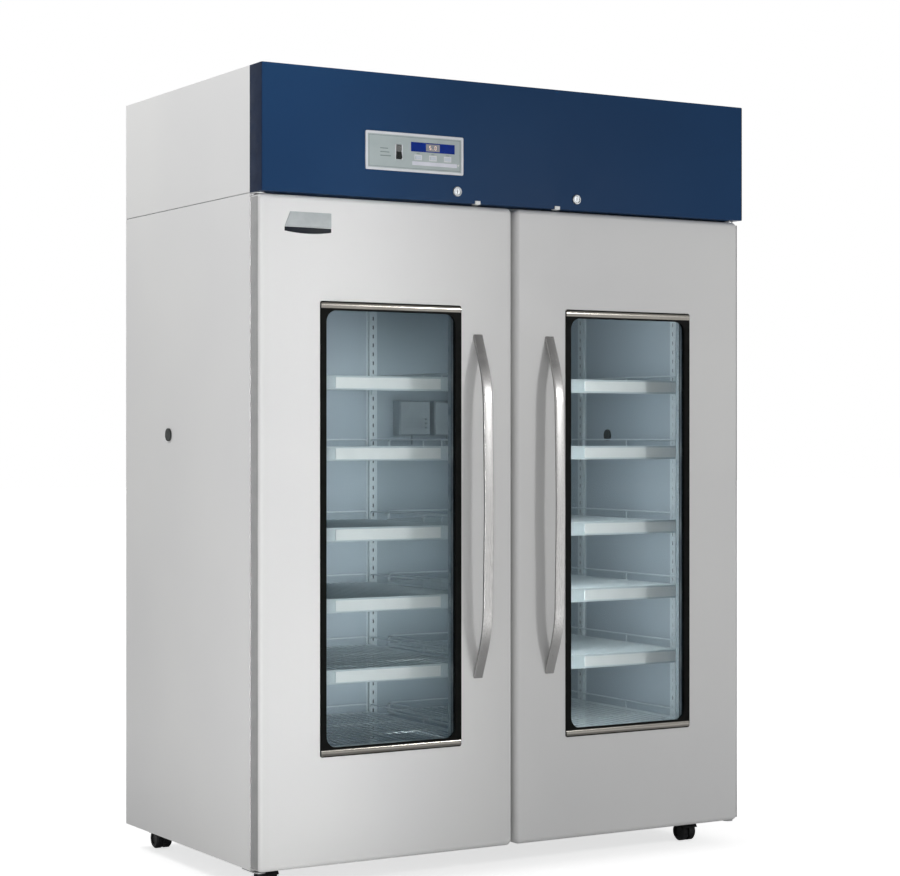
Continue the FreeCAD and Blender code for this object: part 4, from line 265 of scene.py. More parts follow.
def swept(route, section, side, closed=False):
    """Carries a closed section along a flat route: ring i is route_i + a*side + b*up_i, where
    side is square to the route's plane and up_i is side x direction_i."""
    route = np.asarray(route, float)
    side = np.asarray(side, float)
    up = np.cross(side, directions(route, closed))
    section = np.asarray(section, float)
    points = (route[:, None, :] + section[None, :, :1] * side
              + section[None, :, 1:] * up[:, None, :])
    return points.reshape(-1, 3), ring_faces(len(route), len(section), closed)


def circle(diameter, count=8):
    """Points of a circle: r*(cos t, sin t)."""
    t = np.arange(count) * 2 * math.pi / count
    return diameter / 2 * np.stack([np.cos(t), np.sin(t)], 1)


def rounded_box_outline(width, height, radius, steps=4):
    """A rectangle round the origin with its corners rounded."""
    w, h = width / 2, height / 2
    return rounded_route([(-w, -h), (w, -h), (w, h), (-w, h)], radius, True, steps)


def inset(outline, distance):
    """Every point moved inwards by distance/cos(half turn) along the mean of its two normals."""
    ahead = np.roll(outline, -1, 0) - outline
    ahead /= np.linalg.norm(ahead, axis=1, keepdims=True)
    normal = np.stack([-ahead[:, 1], ahead[:, 0]], 1)
    mean = normal + np.roll(normal, 1, 0)
    mean /= np.linalg.norm(mean, axis=1, keepdims=True)
    cosine = np.sum(mean * normal, 1, keepdims=True)
    return outline + mean * distance / np.maximum(cosine, 0.3)


def plate(outline, origin, right, up, thickness, edge=0.0):
    """A flat plate on origin, rising along right x up. Its free edge is a quarter circle: at
    angle t the outline is inset by edge*(1-cos t) and stands at thickness - edge*(1-sin t)."""
    right, up = np.asarray(right, float), np.asarray(up, float)
    out = np.cross(right, up)
    t = np.linspace(0, math.pi / 2, 4) if edge else np.array([0.0])
    levels = [(0.0, 0.0)] + list(zip(edge * (1 - np.cos(t)),
                                     thickness - edge * (1 - np.sin(t))))
    rings = [np.asarray(origin, float) + flat[:, :1] * right + flat[:, 1:] * up + rise * out
             for inward, rise in levels for flat in [inset(outline, inward)]]
    return np.concatenate(rings), ring_faces(len(rings), len(outline))


def extruded(section, x0, x1):
    """A closed section of (y, z) points carried straight along X."""
    rings = [np.column_stack([np.full(len(section), x), section]) for x in (x0, x1)]
    return np.concatenate(rings), ring_faces(2, len(section))


def turned(profile, centre, axis, count):
    """A profile of (radius, height) turned round an axis: centre + h*axis + r*(cos t, sin t)."""
    axis = np.asarray(axis, float)
    u = np.cross(axis, (0.0, 0.0, 1.0) if abs(axis[2]) < 0.9 else (1.0, 0.0, 0.0))
    v = np.cross(axis, u)
    t = np.arange(count) * 2 * math.pi / count
    spoke = np.cos(t)[:, None] * u + np.sin(t)[:, None] * v
    profile = np.asarray(profile, float)
    points = (np.asarray(centre, float) + profile[:, None, 1:] * axis
              + profile[:, None, :1] * spoke[None])
    return points.reshape(-1, 3), ring_faces(len(profile), count)


def flipped_x(shell):
    """The mirror image of a shell across X = 0."""
    points, faces = shell
    return points * (-1, 1, 1), faces


def piece(name, shells, material, body, stands_for=()):
    """One mesh piece from closed shells in millimetres, riding on a body."""
    points = np.concatenate([s[0] for s in shells]) * MM
    faces, start = [], 0
    for shell_points, shell_faces in shells:
        faces += [[corner + start for corner in face] for face in shell_faces]
        start += len(shell_points)
    mesh = bpy.data.meshes.new(name)
    mesh.from_pydata(points.tolist(), [], faces)
    work = bmesh.new()
    work.from_mesh(mesh)
    bmesh.ops.remove_doubles(work, verts=work.verts, dist=MERGE_DISTANCE)
    bmesh.ops.recalc_face_normals(work, faces=work.faces)
    work.to_mesh(mesh)
    work.free()
    mesh.polygons.foreach_set("use_smooth", [True] * len(mesh.polygons))
    mesh.set_sharp_from_angle(angle=SMOOTH_BELOW)
    mesh.materials.append(material)
    made = bpy.data.objects.new(name, mesh)
    bpy.context.scene.collection.objects.link(made)
    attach(made, body)
    if stands_for:
        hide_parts(*stands_for)


# Finishes

def linear(code):
    """sRGB hex to linear light: c/12.92 up to 0.04045, above it ((c+0.055)/1.055)^2.4."""
    values = [int(code[i:i + 2], 16) / 255 for i in (1, 3, 5)]
    return tuple(c / 12.92 if c <= 0.04045 else ((c + 0.055) / 1.055) ** 2.4
                 for c in values) + (1.0,)


def add(tree, kind, inputs=None, **settings):
    """Adds a shader node, sets its properties, then fills or links its inputs."""
    made = tree.nodes.new("ShaderNode" + kind)
    for name, value in settings.items():
        setattr(made, name, value)
    for name, value in (inputs or {}).items():
        if isinstance(value, bpy.types.NodeSocket):
            tree.links.new(value, made.inputs[name])
        else:
            made.inputs[name].default_value = value
    return made


def empty_tree(owner):
    """The node tree of a material or world, cleared."""
    owner.use_nodes = True
    owner.node_tree.nodes.clear()
    return owner.node_tree


def new_finish(name, **sockets):
    """A material on one Principled shader, with its constant values on the shader itself."""
    material = bpy.data.materials.new(name)
    tree = empty_tree(material)
    shader = add(tree, "BsdfPrincipled")
    for socket, value in sockets.items():
        shader.inputs[socket.replace("_", " ")].default_value = value
    add(tree, "OutputMaterial", {"Surface": shader.outputs[0]})
    return material, tree, shader


def grain(tree, size, stretch=(1.0, 1.0, 1.0), detail=3.0):
    """Noise in object space whose lumps are about size millimetres, drawn out by stretch."""
    place = add(tree, "TexCoord").outputs["Object"]
    scale = [1 / (size * MM * s) for s in stretch]
    place = add(tree, "Mapping", {"Vector": place, "Scale": scale}).outputs[0]
    return add(tree, "TexNoise", {"Vector": place, "Scale": 1.0, "Detail": detail,
                                  "Roughness": 0.55}).outputs["Fac"]


def drive(tree, socket, pattern, low, high, start=0.3, end=0.7):
    """A socket goes from low to high while a pattern goes from start to end."""
    carried = add(tree, "MapRange", {"Value": pattern, "From Min": start, "From Max": end,
                                     "To Min": low, "To Max": high})
    tree.links.new(carried.outputs[0], socket)


def two_toned(tree, shader, first, second):
    """Mixes the base colour from two sRGB hex colours. Returns the socket that steers it."""
    mix = add(tree, "Mix", {6: linear(first), 7: linear(second)}, data_type="RGBA")
    tree.links.new(mix.outputs[2], shader.inputs["Base Color"])
    return mix.inputs[0]


def varied(tree, shader, colours, tone, roughness, dulling, less, more):
    """The colour drifts between two hex values with the pattern tone, and the roughness with
    the pattern dulling, from less below its own value to more above it."""
    drive(tree, two_toned(tree, shader, *colours), tone, 0.0, 1.0)
    drive(tree, shader.inputs["Roughness"], dulling, roughness - less, roughness + more)


def relief(tree, shader, height, depth, rounding):
    """Bump of a real depth in millimetres, over edges eased by rounding millimetres."""
    softened = add(tree, "Bevel", {"Radius": rounding * MM}, samples=4).outputs[0]
    bump = add(tree, "Bump", {"Height": height, "Distance": depth * MM, "Strength": 1.0,
                              "Normal": softened})
    tree.links.new(bump.outputs[0], shader.inputs["Normal"])


def coated_steel(name, light, dark, roughness, gloss):
    """Powder-coated sheet steel: sprayed and stoved, so it shows a faint orange peel 4 mm
    across, a soft sheen and, over half a metre, the slightest drift of tone."""
    material, tree, shader = new_finish(name, Specular_IOR_Level=gloss)
    varied(tree, shader, (light, dark), grain(tree, 450.0, detail=1.0),
           roughness, grain(tree, 90.0), 0.02, 0.03)
    relief(tree, shader, grain(tree, 4.0, detail=0.0), 0.003, 0.8)
    return material


def galvanised_sheet():
    """Hot-dip zinc on steel: flat crystals some 12 mm across, each a slightly other grey."""
    material, tree, shader = new_finish("galvanised_sheet", Metallic=0.85)
    place = add(tree, "TexCoord").outputs["Object"]
    place = add(tree, "Mapping", {"Vector": place, "Scale": [1 / (12.0 * MM)] * 3}).outputs[0]
    flakes = add(tree, "TexVoronoi", {"Vector": place, "Scale": 1.0}, distance="MINKOWSKI")
    tone = add(tree, "SeparateColor", {"Color": flakes.outputs["Color"]}).outputs[0]
    tree.links.new(tone, two_toned(tree, shader, "#A3A7A9", "#C2C5C6"))
    drive(tree, shader.inputs["Roughness"], tone, 0.38, 0.55, 0.0, 1.0)
    relief(tree, shader, grain(tree, 1.2), 0.008, 0.5)
    return material


def brushed_steel(name, light, dark, grain_axis, roughness):
    """Stainless steel brushed along one axis: the belt leaves hairlines that break the
    highlight. They are drawn 0.7 mm wide and some 80 mm long, wider than real ones, which
    wouldn't show."""
    material, tree, shader = new_finish(name, Metallic=1.0, Anisotropic=0.4)
    stretch = [1.0, 1.0, 1.0]
    stretch[grain_axis] = 120.0
    lines = grain(tree, 0.7, stretch, 4.0)
    varied(tree, shader, (light, dark), lines, roughness, lines, 0.06, 0.1)
    relief(tree, shader, lines, 0.01, 0.4)
    return material


def moulded_plastic(name, light, dark, roughness, gloss=0.5, texture=0.5):
    """Injection-moulded plastic: softened edges, a little shine rubbed into it in places, and
    a spark-eroded grain, drawn texture millimetres wide so that it shows."""
    material, tree, shader = new_finish(name, Specular_IOR_Level=gloss)
    varied(tree, shader, (light, dark), grain(tree, 40.0),
           roughness, grain(tree, 25.0), 0.06, 0.06)
    relief(tree, shader, grain(tree, texture, detail=2.0), 0.02, 0.4)
    return material


def soft_rubber(name, light, dark, roughness=0.7):
    """Extruded or moulded rubber: matt, faintly bloomed, with fine lumps 1 mm across."""
    material, tree, shader = new_finish(name, Specular_IOR_Level=0.3)
    varied(tree, shader, (light, dark), grain(tree, 30.0),
           roughness, grain(tree, 12.0), 0.08, 0.08)
    relief(tree, shader, grain(tree, 1.0), 0.03, 0.5)
    return material


def polished_metal(name, light, dark, roughness):
    """Plated or drawn metal: bright, with handling marks 0.6 mm wide and a thin film of
    tarnish."""
    material, tree, shader = new_finish(name, Metallic=1.0)
    varied(tree, shader, (light, dark), grain(tree, 14.0),
           roughness, grain(tree, 5.0), 0.05, 0.1)
    relief(tree, shader, grain(tree, 0.6), 0.006, 0.3)
    return material


def window_pane():
    """Coated float glass: clear, with a faintly blue mirror image that grows towards a
    grazing look and wavers with the float's slow waves."""
    material = bpy.data.materials.new("coated_float_glass")
    tree = empty_tree(material)
    clear = add(tree, "BsdfTransparent", {"Color": linear("#FDFEFE")})
    mirror = add(tree, "BsdfGlossy", {"Color": linear("#C8D8E0"), "Roughness": 0.02})
    waves = grain(tree, 380.0, detail=0.0)
    bump = add(tree, "Bump", {"Height": waves, "Distance": 0.1 * MM})
    tree.links.new(bump.outputs[0], mirror.inputs["Normal"])
    edge = add(tree, "Fresnel", {"IOR": 1.15})
    mix = add(tree, "MixShader", {0: edge.outputs[0], 1: clear.outputs[0], 2: mirror.outputs[0]})
    add(tree, "OutputMaterial", {"Surface": mix.outputs[0]})
    return material


def glowing(name, colour, strength):
    """A lit lens: smooth plastic with light behind it, a little uneven over its length."""
    material, tree, shader = new_finish(name, Base_Color=linear(colour), Roughness=0.3,
                                        Emission_Color=linear(colour))
    drive(tree, shader.inputs["Emission Strength"], grain(tree, 30.0), strength * 0.9,
          strength * 1.1)
    return material


white_coating = coated_steel("white_powder_coat", "#E8E8E7", "#E3E3E3", 0.36, 0.2)
navy_coating = coated_steel("navy_powder_coat", "#24446B", "#1F3D62", 0.34, 0.03)
liner_coating = coated_steel("pale_blue_liner_coat", "#A9B6BF", "#A1AFB9", 0.45, 0.3)
shelf_coating = coated_steel("grey_white_epoxy_coat", "#CBD6DA", "#C2CED3", 0.4, 0.4)
zinc_sheet = galvanised_sheet()
handle_steel = brushed_steel("brushed_handle_steel", "#B4B3B2", "#9C9B9A", 2, 0.24)
bracket_steel = brushed_steel("brushed_bracket_steel", "#B4B5B6", "#8E9092", 0, 0.34)
frame_plastic = moulded_plastic("black_moulded_frame", "#121312", "#0A0B0A", 0.5, 0.04)
black_plastic = moulded_plastic("black_moulded_nylon", "#16171A", "#0E0F11", 0.5, 0.3)
silver_plastic = moulded_plastic("silver_painted_plastic", "#D6D9DD", "#CBCED3", 0.35)
white_plastic = moulded_plastic("white_moulded_plastic", "#EFF1F1", "#E7EAEA", 0.4)
probe_plastic = moulded_plastic("grey_probe_housing", "#9CA7AD", "#929DA4", 0.45)
retainer_plastic = moulded_plastic("grey_moulded_retainer", "#9AA5AB", "#8F9BA2", 0.3)
spacer_metal = brushed_steel("aluminium_spacer_bar", "#B4B9BC", "#999FA3", 2, 0.3)
butyl_seal = soft_rubber("butyl_edge_seal", "#26282A", "#1C1E20", 0.6)
key_plastic = moulded_plastic("grey_blue_key_plastic", "#C3CCD6", "#B6C0CB", 0.38)
switch_plastic = moulded_plastic("dark_switch_plastic", "#0E1512", "#0A0F0D", 0.25)
fan_plastic = moulded_plastic("fan_nylon", "#1E1F22", "#141518", 0.5)
board_laminate = moulded_plastic("green_circuit_laminate", "#0F5A2C", "#0B4522", 0.35)
foam_core = moulded_plastic("cream_rigid_foam", "#E7DBB4", "#D8C99C", 0.9, 0.2, 1.5)
seal_rubber = soft_rubber("grey_seal_rubber", "#75777A", "#66686B")
plug_rubber = soft_rubber("dark_stopper_rubber", "#3A3D3C", "#2A2D2C")
wheel_rubber = soft_rubber("black_wheel_rubber", "#17171A", "#0E0E10", 0.55)
lock_chrome = polished_metal("satin_chromed_brass", "#A9ACAE", "#96999B", 0.42)
screw_zinc = polished_metal("zinc_plated_screw", "#C9CBCC", "#A9ABAC", 0.3)
copper = polished_metal("drawn_copper", "#C07A4E", "#8E5334", 0.32)
fin_aluminium = polished_metal("fin_aluminium", "#C6C8CA", "#A9ACAE", 0.4)
motor_enamel = coated_steel("black_motor_enamel", "#17181A", "#0E0F10", 0.35, 0.4)
display_lens = moulded_plastic("blue_display_lens", "#0B3191", "#08297C", 0.2, 0.03, 8.0)
lamp_lens = glowing("frosted_lamp_lens", "#F2F6FA", LAMP_STRENGTH)
digit_light = glowing("display_digit", "#CFAE9A", DIGIT_STRENGTH)
digit_glass = glowing("lit_display_film", "#5C5E68", FILM_STRENGTH)
trim_steel = brushed_steel("brushed_trim_strip", "#8F8C86", "#6C6964", 0, 0.16)
badge_silver = moulded_plastic("silver_badge_face", "#B3B9BA", "#A2A8AA", 0.4, 0.4)
badge_dark = moulded_plastic("dark_badge_bar", "#171D24", "#10161C", 0.35, 0.1)
# Plain grey for thin plates on the doors' outer sides, darker than the white coat beside them.
side_plate_grey = moulded_plastic("grey_door_edge_profile", "#A6A6A6", "#9C9D9D", 0.5, 0.2)
# Dark navy for thin plates on the header's ends, darker than its front.
header_end_dark = moulded_plastic("dark_navy_header_end", "#15243D", "#111E34", 0.5, 0.06)
panel_film = moulded_plastic("grey_green_panel_film", "#AAB5B6", "#A3AFB0", 0.4, 0.3)
print_ink = moulded_plastic("grey_screen_ink", "#7D8987", "#73807E", 0.5, 0.3)
label_film = moulded_plastic("pale_label_film", "#CDCFDA", "#C1C4D0", 0.35)
# Painted shade: dark plates for the shade inside the uprights' slot holes and the screws' cross
# recesses.
slot_shadow = soft_rubber("painted_slot_shade", "#2B333A", "#20272D", 0.8)
# Painted shade: a dark strip on the centre post for the shade in the gap between the doors.
gap_shade_material = soft_rubber("painted_shade_in_door_gap", "#3A3B3C", "#2C2D2E", 0.8)
pane = window_pane()

FINISHES = (
    (white_coating, ("side_panels", "left_door_panel", "right_door_panel", "top_cover")),
    (navy_coating, ("header_fascia",)),
    (liner_coating, ("inner_liner", "center_mullion", "evaporator_cover")),
    (zinc_sheet, ("back_panel", "base_pan", "deck_plate", "rear_grille", "caster_plates")),
    (shelf_coating, ("shelf_supports",)),
    (white_plastic, ("label_holders", "door_sensors", "electrical_box", "drip_tray")),
    (probe_plastic, ("temperature_probe",)),
    (foam_core, ("insulation_boards", "left_door_insulation", "right_door_insulation")),
    (frame_plastic, ("left_window_frame", "right_window_frame")),
    (black_plastic, ("condenser_fan_frame", "power_inlet", "front_left_caster_fork",
                     "front_right_caster_fork", "rear_left_caster_fork",
                     "rear_right_caster_fork")),
    (pane, ("left_glass_unit", "right_glass_unit")),
    (seal_rubber, ("left_gasket", "right_gasket")),
    (plug_rubber, ("port_plugs",)),
    (wheel_rubber, ("front_left_caster_wheels", "front_right_caster_wheels",
                    "rear_left_caster_wheels", "rear_right_caster_wheels")),
    (silver_plastic, ("control_bezel",)),
    (display_lens, ("display_window",)),
    (board_laminate, ("control_board",)),
    (key_plastic, ("set_key", "up_key", "down_key")),
    (switch_plastic, ("power_rocker",)),
    (lock_chrome, ("lock_housings", "left_lock_cylinder", "right_lock_cylinder")),
    (bracket_steel, ("hinge_brackets",)),
    (handle_steel, ("left_handle", "right_handle")),
    (lamp_lens, ("lamp_bars",)),
    (motor_enamel, ("compressor",)),
    (copper, ("refrigerant_lines",)),
    (fin_aluminium, ("condenser_coil", "evaporator_coil")),
    (fan_plastic, ("condenser_fan", "evaporator_fan")),
)
for material, names in FINISHES:
    for name in names:
        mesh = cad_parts[name].data
        mesh.materials.clear()
        mesh.materials.append(material)


# Inside fittings

def both_sides(shells):
    """Shells of the right-hand half and their mirror images."""
    return shells + [flipped_x(shell) for shell in shells]


def shelf_deck(level):
    """Rim rod bent to a rectangle, cross rods, and deck wires welded on from front to back."""
    top = level + DECK_ABOVE_LEVEL
    (x0, x1), (y0, y1) = RIM_X, RIM_Y
    rim_z = top - RIM_ROD / 2 - RIM_DROP
    rim = rounded_route([(x0, y0, rim_z), (x1, y0, rim_z), (x1, y1, rim_z), (x0, y1, rim_z)],
                        RIM_CORNER, closed=True)
    shells = [swept(rim, circle(RIM_ROD), UP, closed=True)]
    cross_z = top - DECK_WIRE - CROSS_ROD / 2 + WELD_DEPTH
    for y in np.linspace(y0, y1, CROSS_RODS + 2)[1:-1]:
        shells.append(swept([(x0, y, cross_z), (x1, y, cross_z)], circle(CROSS_ROD), UP))
    wire_z = top - DECK_WIRE / 2
    for x in np.linspace(x0, x1, DECK_WIRES + 2)[1:-1]:
        shells.append(swept([(x, y0, wire_z), (x, y1, wire_z)], circle(DECK_WIRE, 6), UP))
    return shells


def hoop(start, end, rise):
    """A wire bent up, along and down between two feet, with one post in the middle."""
    start, end = np.array(start, float), np.array(end, float)
    up = np.array([0.0, 0.0, rise])
    route = rounded_route([start, start + up, end + up, end], GUARD_CORNER, steps=4)
    side = np.cross(end - start, up)
    side /= np.linalg.norm(side)
    middle = (start + end) / 2
    return [swept(route, circle(GUARD_ROD), side),
            swept([middle, middle + up], circle(GUARD_ROD), side)]


def shelf_guard(level):
    """Fences of wire hoops on the rear and both sides of a shelf."""
    z = level + DECK_ABOVE_LEVEL - GUARD_FOOT
    rise = GUARD_RISE + GUARD_FOOT - GUARD_ROD / 2
    (x0, x1), (y0, y1) = RIM_X, RIM_Y
    gap = 2 * GUARD_ROD
    runs = (((x0, y0, z), (x0, y1 - gap, z)), ((x1, y0, z), (x1, y1 - gap, z)),
            ((x0 + gap, y1, z), (x1 - gap, y1, z)))
    return [shell for start, end in runs for shell in hoop(start, end, rise)]


def shelf_apron(level):
    """Sheet folded to a channel that grips the label strip: a section of even thickness,
    its middle line offset by half the sheet to each side, carried along X."""
    half = (APRON_HEIGHT - APRON_SHEET) / 2
    back = FRONT + SHELF_Y0 - APRON_SHEET / 2
    front = back - APRON_DEPTH + APRON_SHEET / 2
    line = rounded_route([(front, -half + APRON_LIP), (front, -half), (back, -half),
                          (back, half), (front, half), (front, half - APRON_LIP)],
                         APRON_BEND, steps=3)
    along = directions(line)
    normal = np.stack([-along[:, 1], along[:, 0]], 1) * APRON_SHEET / 2
    section = np.concatenate([line + normal, (line - normal)[::-1]]) + (0, level)
    return [extruded(section, SHELF_X0, SHELF_X1)]


for name, shells_at in (("shelf_decks", shelf_deck), ("shelf_guards", shelf_guard),
                        ("shelf_aprons", shelf_apron)):
    shells = [shell for level in SHELF_LEVELS for shell in both_sides(shells_at(level))]
    piece(name, shells, shelf_coating, "cabinet", ["wire_shelves"])


# Door furniture

def handle_band():
    """Flat band bowed out from the right door: its middle line runs up the slope to the
    shoulder, over the bow and back, and a rounded section is carried along it."""
    slope = math.atan2(HANDLE_SHOULDER, HANDLE_RISE)
    bow = math.atan2(HANDLE_CROWN - HANDLE_SHOULDER, HANDLE_LENGTH / 2 - HANDLE_RISE)
    depth = HANDLE_THICKNESS / 2
    offset = depth / math.cos((slope - bow) / 2)
    foot = (depth / math.sin(slope) - HANDLE_SINK, -HANDLE_SINK * math.tan(slope))
    shoulder = (HANDLE_RISE + offset * math.sin((slope + bow) / 2),
                HANDLE_SHOULDER - offset * math.cos((slope + bow) / 2))
    crown = (HANDLE_LENGTH / 2, HANDLE_CROWN - depth / math.cos(bow))
    half = [foot, shoulder, crown]
    line = half + [(HANDLE_LENGTH - z, reach) for z, reach in half[1::-1]]
    corners = [(HANDLE_CENTER, DOOR_SKIN - reach, HANDLE_BOTTOM + z) for z, reach in line]
    route = rounded_route(corners, [0, SHOULDER_RADIUS, BOW_RADIUS, SHOULDER_RADIUS, 0],
                          steps=16)
    section = rounded_box_outline(HANDLE_WIDTH, HANDLE_THICKNESS, HANDLE_EDGE)
    return swept(route, section, (1, 0, 0))


right_band = handle_band()
piece("right_handle_band", [right_band], handle_steel, "right_door",
      ["right_handle"])
piece("left_handle_band", [flipped_x(right_band)], handle_steel, "left_door",
      ["left_handle"])


def window_trims(side):
    """Two metal strips let into the frame, rounded like a shallow D: the face stands out from
    the bottom of its groove by t + h*sqrt(1 - (2z/w)^2)."""
    groove = box_mm("left_window_frame")[0][1] + TRIM_SHEET
    half = TRIM_HEIGHT / 2
    angle = np.linspace(0, math.pi, 13)
    face = np.stack([groove - TRIM_LEDGE - TRIM_RISE * np.sin(angle), -half * np.cos(angle)], 1)
    section = np.concatenate([face, [(groove, half), (groove, -half)]])
    return [extruded(section + (0, bottom + half), side * TRIM_X0, side * TRIM_X1)
            for bottom in TRIM_BOTTOMS]


def window_ring(side, margin, radius, y0, y1):
    """A thin band round the window's opening, margin inside the hole, from y0 back to y1."""
    low, high = box_mm("left_window_frame")
    x0, x1 = WINDOW_X0 + margin, WINDOW_X1 - margin
    z0, z1 = low[2] + margin, high[2] - margin
    corners = [(side * x, y0, z) for x, z in ((x0, z0), (x1, z0), (x1, z1), (x0, z1))][::side]
    route = rounded_route(corners, radius, True, 4)
    band = [(0, 0), (y1 - y0, 0), (y1 - y0, -RING_SHEET), (0, -RING_SHEET)]
    return swept(route, band, (0, 1, 0), closed=True)


def glass_edges(side):
    """What shows at the edge of the double glass: the metal spacer, its two dark sealing
    lines, and the grey inner face of the ring that holds the unit."""
    front = box_mm("left_window_frame")[0][1] + GLASS_RECESS + PANE
    back = front + PANE_SPACE
    corner = (2 * SPACER_WIDTH, SPACER_CORNER)
    return ([window_ring(side, *corner, front + SEAL_WIDTH, back - SEAL_WIDTH)],
            [window_ring(side, *corner, y, y + SEAL_WIDTH - RING_GAP)
             for y in (front + RING_GAP, back - SEAL_WIDTH)],
            [window_ring(side, SPACER_WIDTH + RETAINER_WIDTH, RETAINER_CORNER,
                         back + PANE + RETAINER_GAP,
                         box_mm("left_door_panel")[1][1] - RING_GAP)])


for side, name in ((-1, "left"), (1, "right")):
    door = name + "_door"
    piece(name + "_window_trims", window_trims(side), trim_steel, door)
    spacer, seals, retainer = glass_edges(side)
    piece(name + "_glass_spacer", spacer, spacer_metal, door)
    piece(name + "_glass_seals", seals, butyl_seal, door)
    piece(name + "_glass_retainer", retainer, retainer_plastic, door)


def badge():
    """The bare name plate: a slant-ended plate over a dark bar with a curved lower edge,
    which drops by h*(1 - u^2) across its length."""
    origin = (0, DOOR_SKIN + BADGE_SINK, 0)
    top = rounded_route([(BADGE_X0, BADGE_SPLIT), (BADGE_X1, BADGE_SPLIT),
                         (BADGE_X1, BADGE_Z1), (BADGE_X0 + BADGE_SLANT, BADGE_Z1)],
                        BADGE_CORNER, True, 3)
    u = np.linspace(-1, 1, 13)
    middle, half = (BADGE_X0 + BADGE_X1) / 2, (BADGE_X1 - BADGE_X0) / 2
    low = np.stack([middle + u * half, BADGE_Z0 + BADGE_SAG * u ** 2 - BADGE_SAG / 2], 1)
    high = BADGE_SPLIT - BADGE_GROOVE
    bar = np.concatenate([low, [(BADGE_X1, high), (BADGE_X0, high)]])
    return (plate(top, origin, *FACING, BADGE_RISE + BADGE_SINK, PLATE_EDGE),
            plate(bar, origin, *FACING, BADGE_RISE, BAR_EDGE))


badge_plate, badge_bar = badge()
piece("badge_plate", [badge_plate], badge_silver, "left_door")
piece("badge_bar", [badge_bar], badge_dark, "left_door")


def block(x0, x1, z0, z1, y, rise, edge=0.0, radius=0.0):
    """A flat rectangular plate that stands rise in front of depth y."""
    outline = rounded_box_outline(x1 - x0, z1 - z0, radius, 3)
    return plate(outline, ((x0 + x1) / 2, y, (z0 + z1) / 2), *FACING, rise, edge)


# letter: place across, place up, and whether the bar stands upright
SEGMENTS = {"a": (0, 1, 0), "g": (0, 0, 0), "d": (0, -1, 0), "f": (-1, 0.5, 1),
            "b": (1, 0.5, 1), "e": (-1, -0.5, 1), "c": (1, -0.5, 1)}
SEGMENTS_OF = {"5": "afgcd", "0": "abcdef"}


def digit(shape, x, z, y):
    """Seven-segment digit: bars across at +h, 0 and -h, and bars upright at +-w, +-h/2."""
    half_w = (DIGIT_WIDTH - SEGMENT) / 2
    half_h = (DIGIT_HEIGHT - SEGMENT) / 2
    shells = []
    for letter in SEGMENTS_OF[shape]:
        across, up, upright = SEGMENTS[letter]
        length = (half_h if upright else 2 * half_w) - SEGMENT_GAP
        w, h = (SEGMENT, length) if upright else (length, SEGMENT)
        cx, cz = x + across * half_w, z + up * half_h
        shells.append(block(cx - w / 2, cx + w / 2, cz - h / 2, cz + h / 2, y, INK, 0,
                            SEGMENT_CORNER))
    return shells


def tiles(x0, x1, z0, z1, holes):
    """Rectangles that fill a face except its holes: the face is cut into columns at the holes'
    sides, and each column keeps the heights between the holes that cross it."""
    cuts = sorted({x0, x1} | {x for hole in holes for x in hole[:2] if x0 < x < x1})
    filled = []
    for left, right in zip(cuts, cuts[1:]):
        middle = (left + right) / 2
        crossed = sorted(hole[2:] for hole in holes if hole[0] < middle < hole[1])
        low = z0
        for bottom, top in crossed + [(z1, z1)]:
            if bottom > low:
                filled.append((left, right, low, bottom))
            low = max(low, top)
    return filled


def opening_round(node, clearance):
    """The rectangle round a node as the panel's face sees it."""
    low, high = box_mm(node)
    return low[0] - clearance, high[0] + clearance, low[2] - clearance, high[2] + clearance


def panel_prints(face, x0, x1, z0, z1, keys, rocker):
    """The panel's printing as plain bars: a frame line, a mark over each key, and three rows
    that grow shorter upwards at the left of the rocker."""
    gap, line = FRAME_GAP, FRAME_LINE
    bars = [block(x0 + gap, x1 - gap, z, z + line, face, INK) for z in (z0 + gap, z1 - gap - line)]
    bars += [block(x, x + line, z0 + gap, z1 - gap, face, INK)
             for x in (x0 + gap, x1 - gap - line)]
    for left, right, _, top in keys:
        middle = (left + right) / 2
        bars.append(block(middle - KEY_MARK_HALF, middle + KEY_MARK_HALF,
                          top + KEY_MARK_BOTTOM, top + KEY_MARK_TOP, face, INK))
    for k in range(PRINT_ROWS):
        z = rocker[2] + PRINT_START + PRINT_PITCH * k
        bars.append(block(rocker[0] - PRINT_LEFT, rocker[0] - PRINT_RIGHT - PRINT_STEP * k,
                          z, z + PRINT_HEIGHT, face, INK, 0, PRINT_CORNER))
    return bars


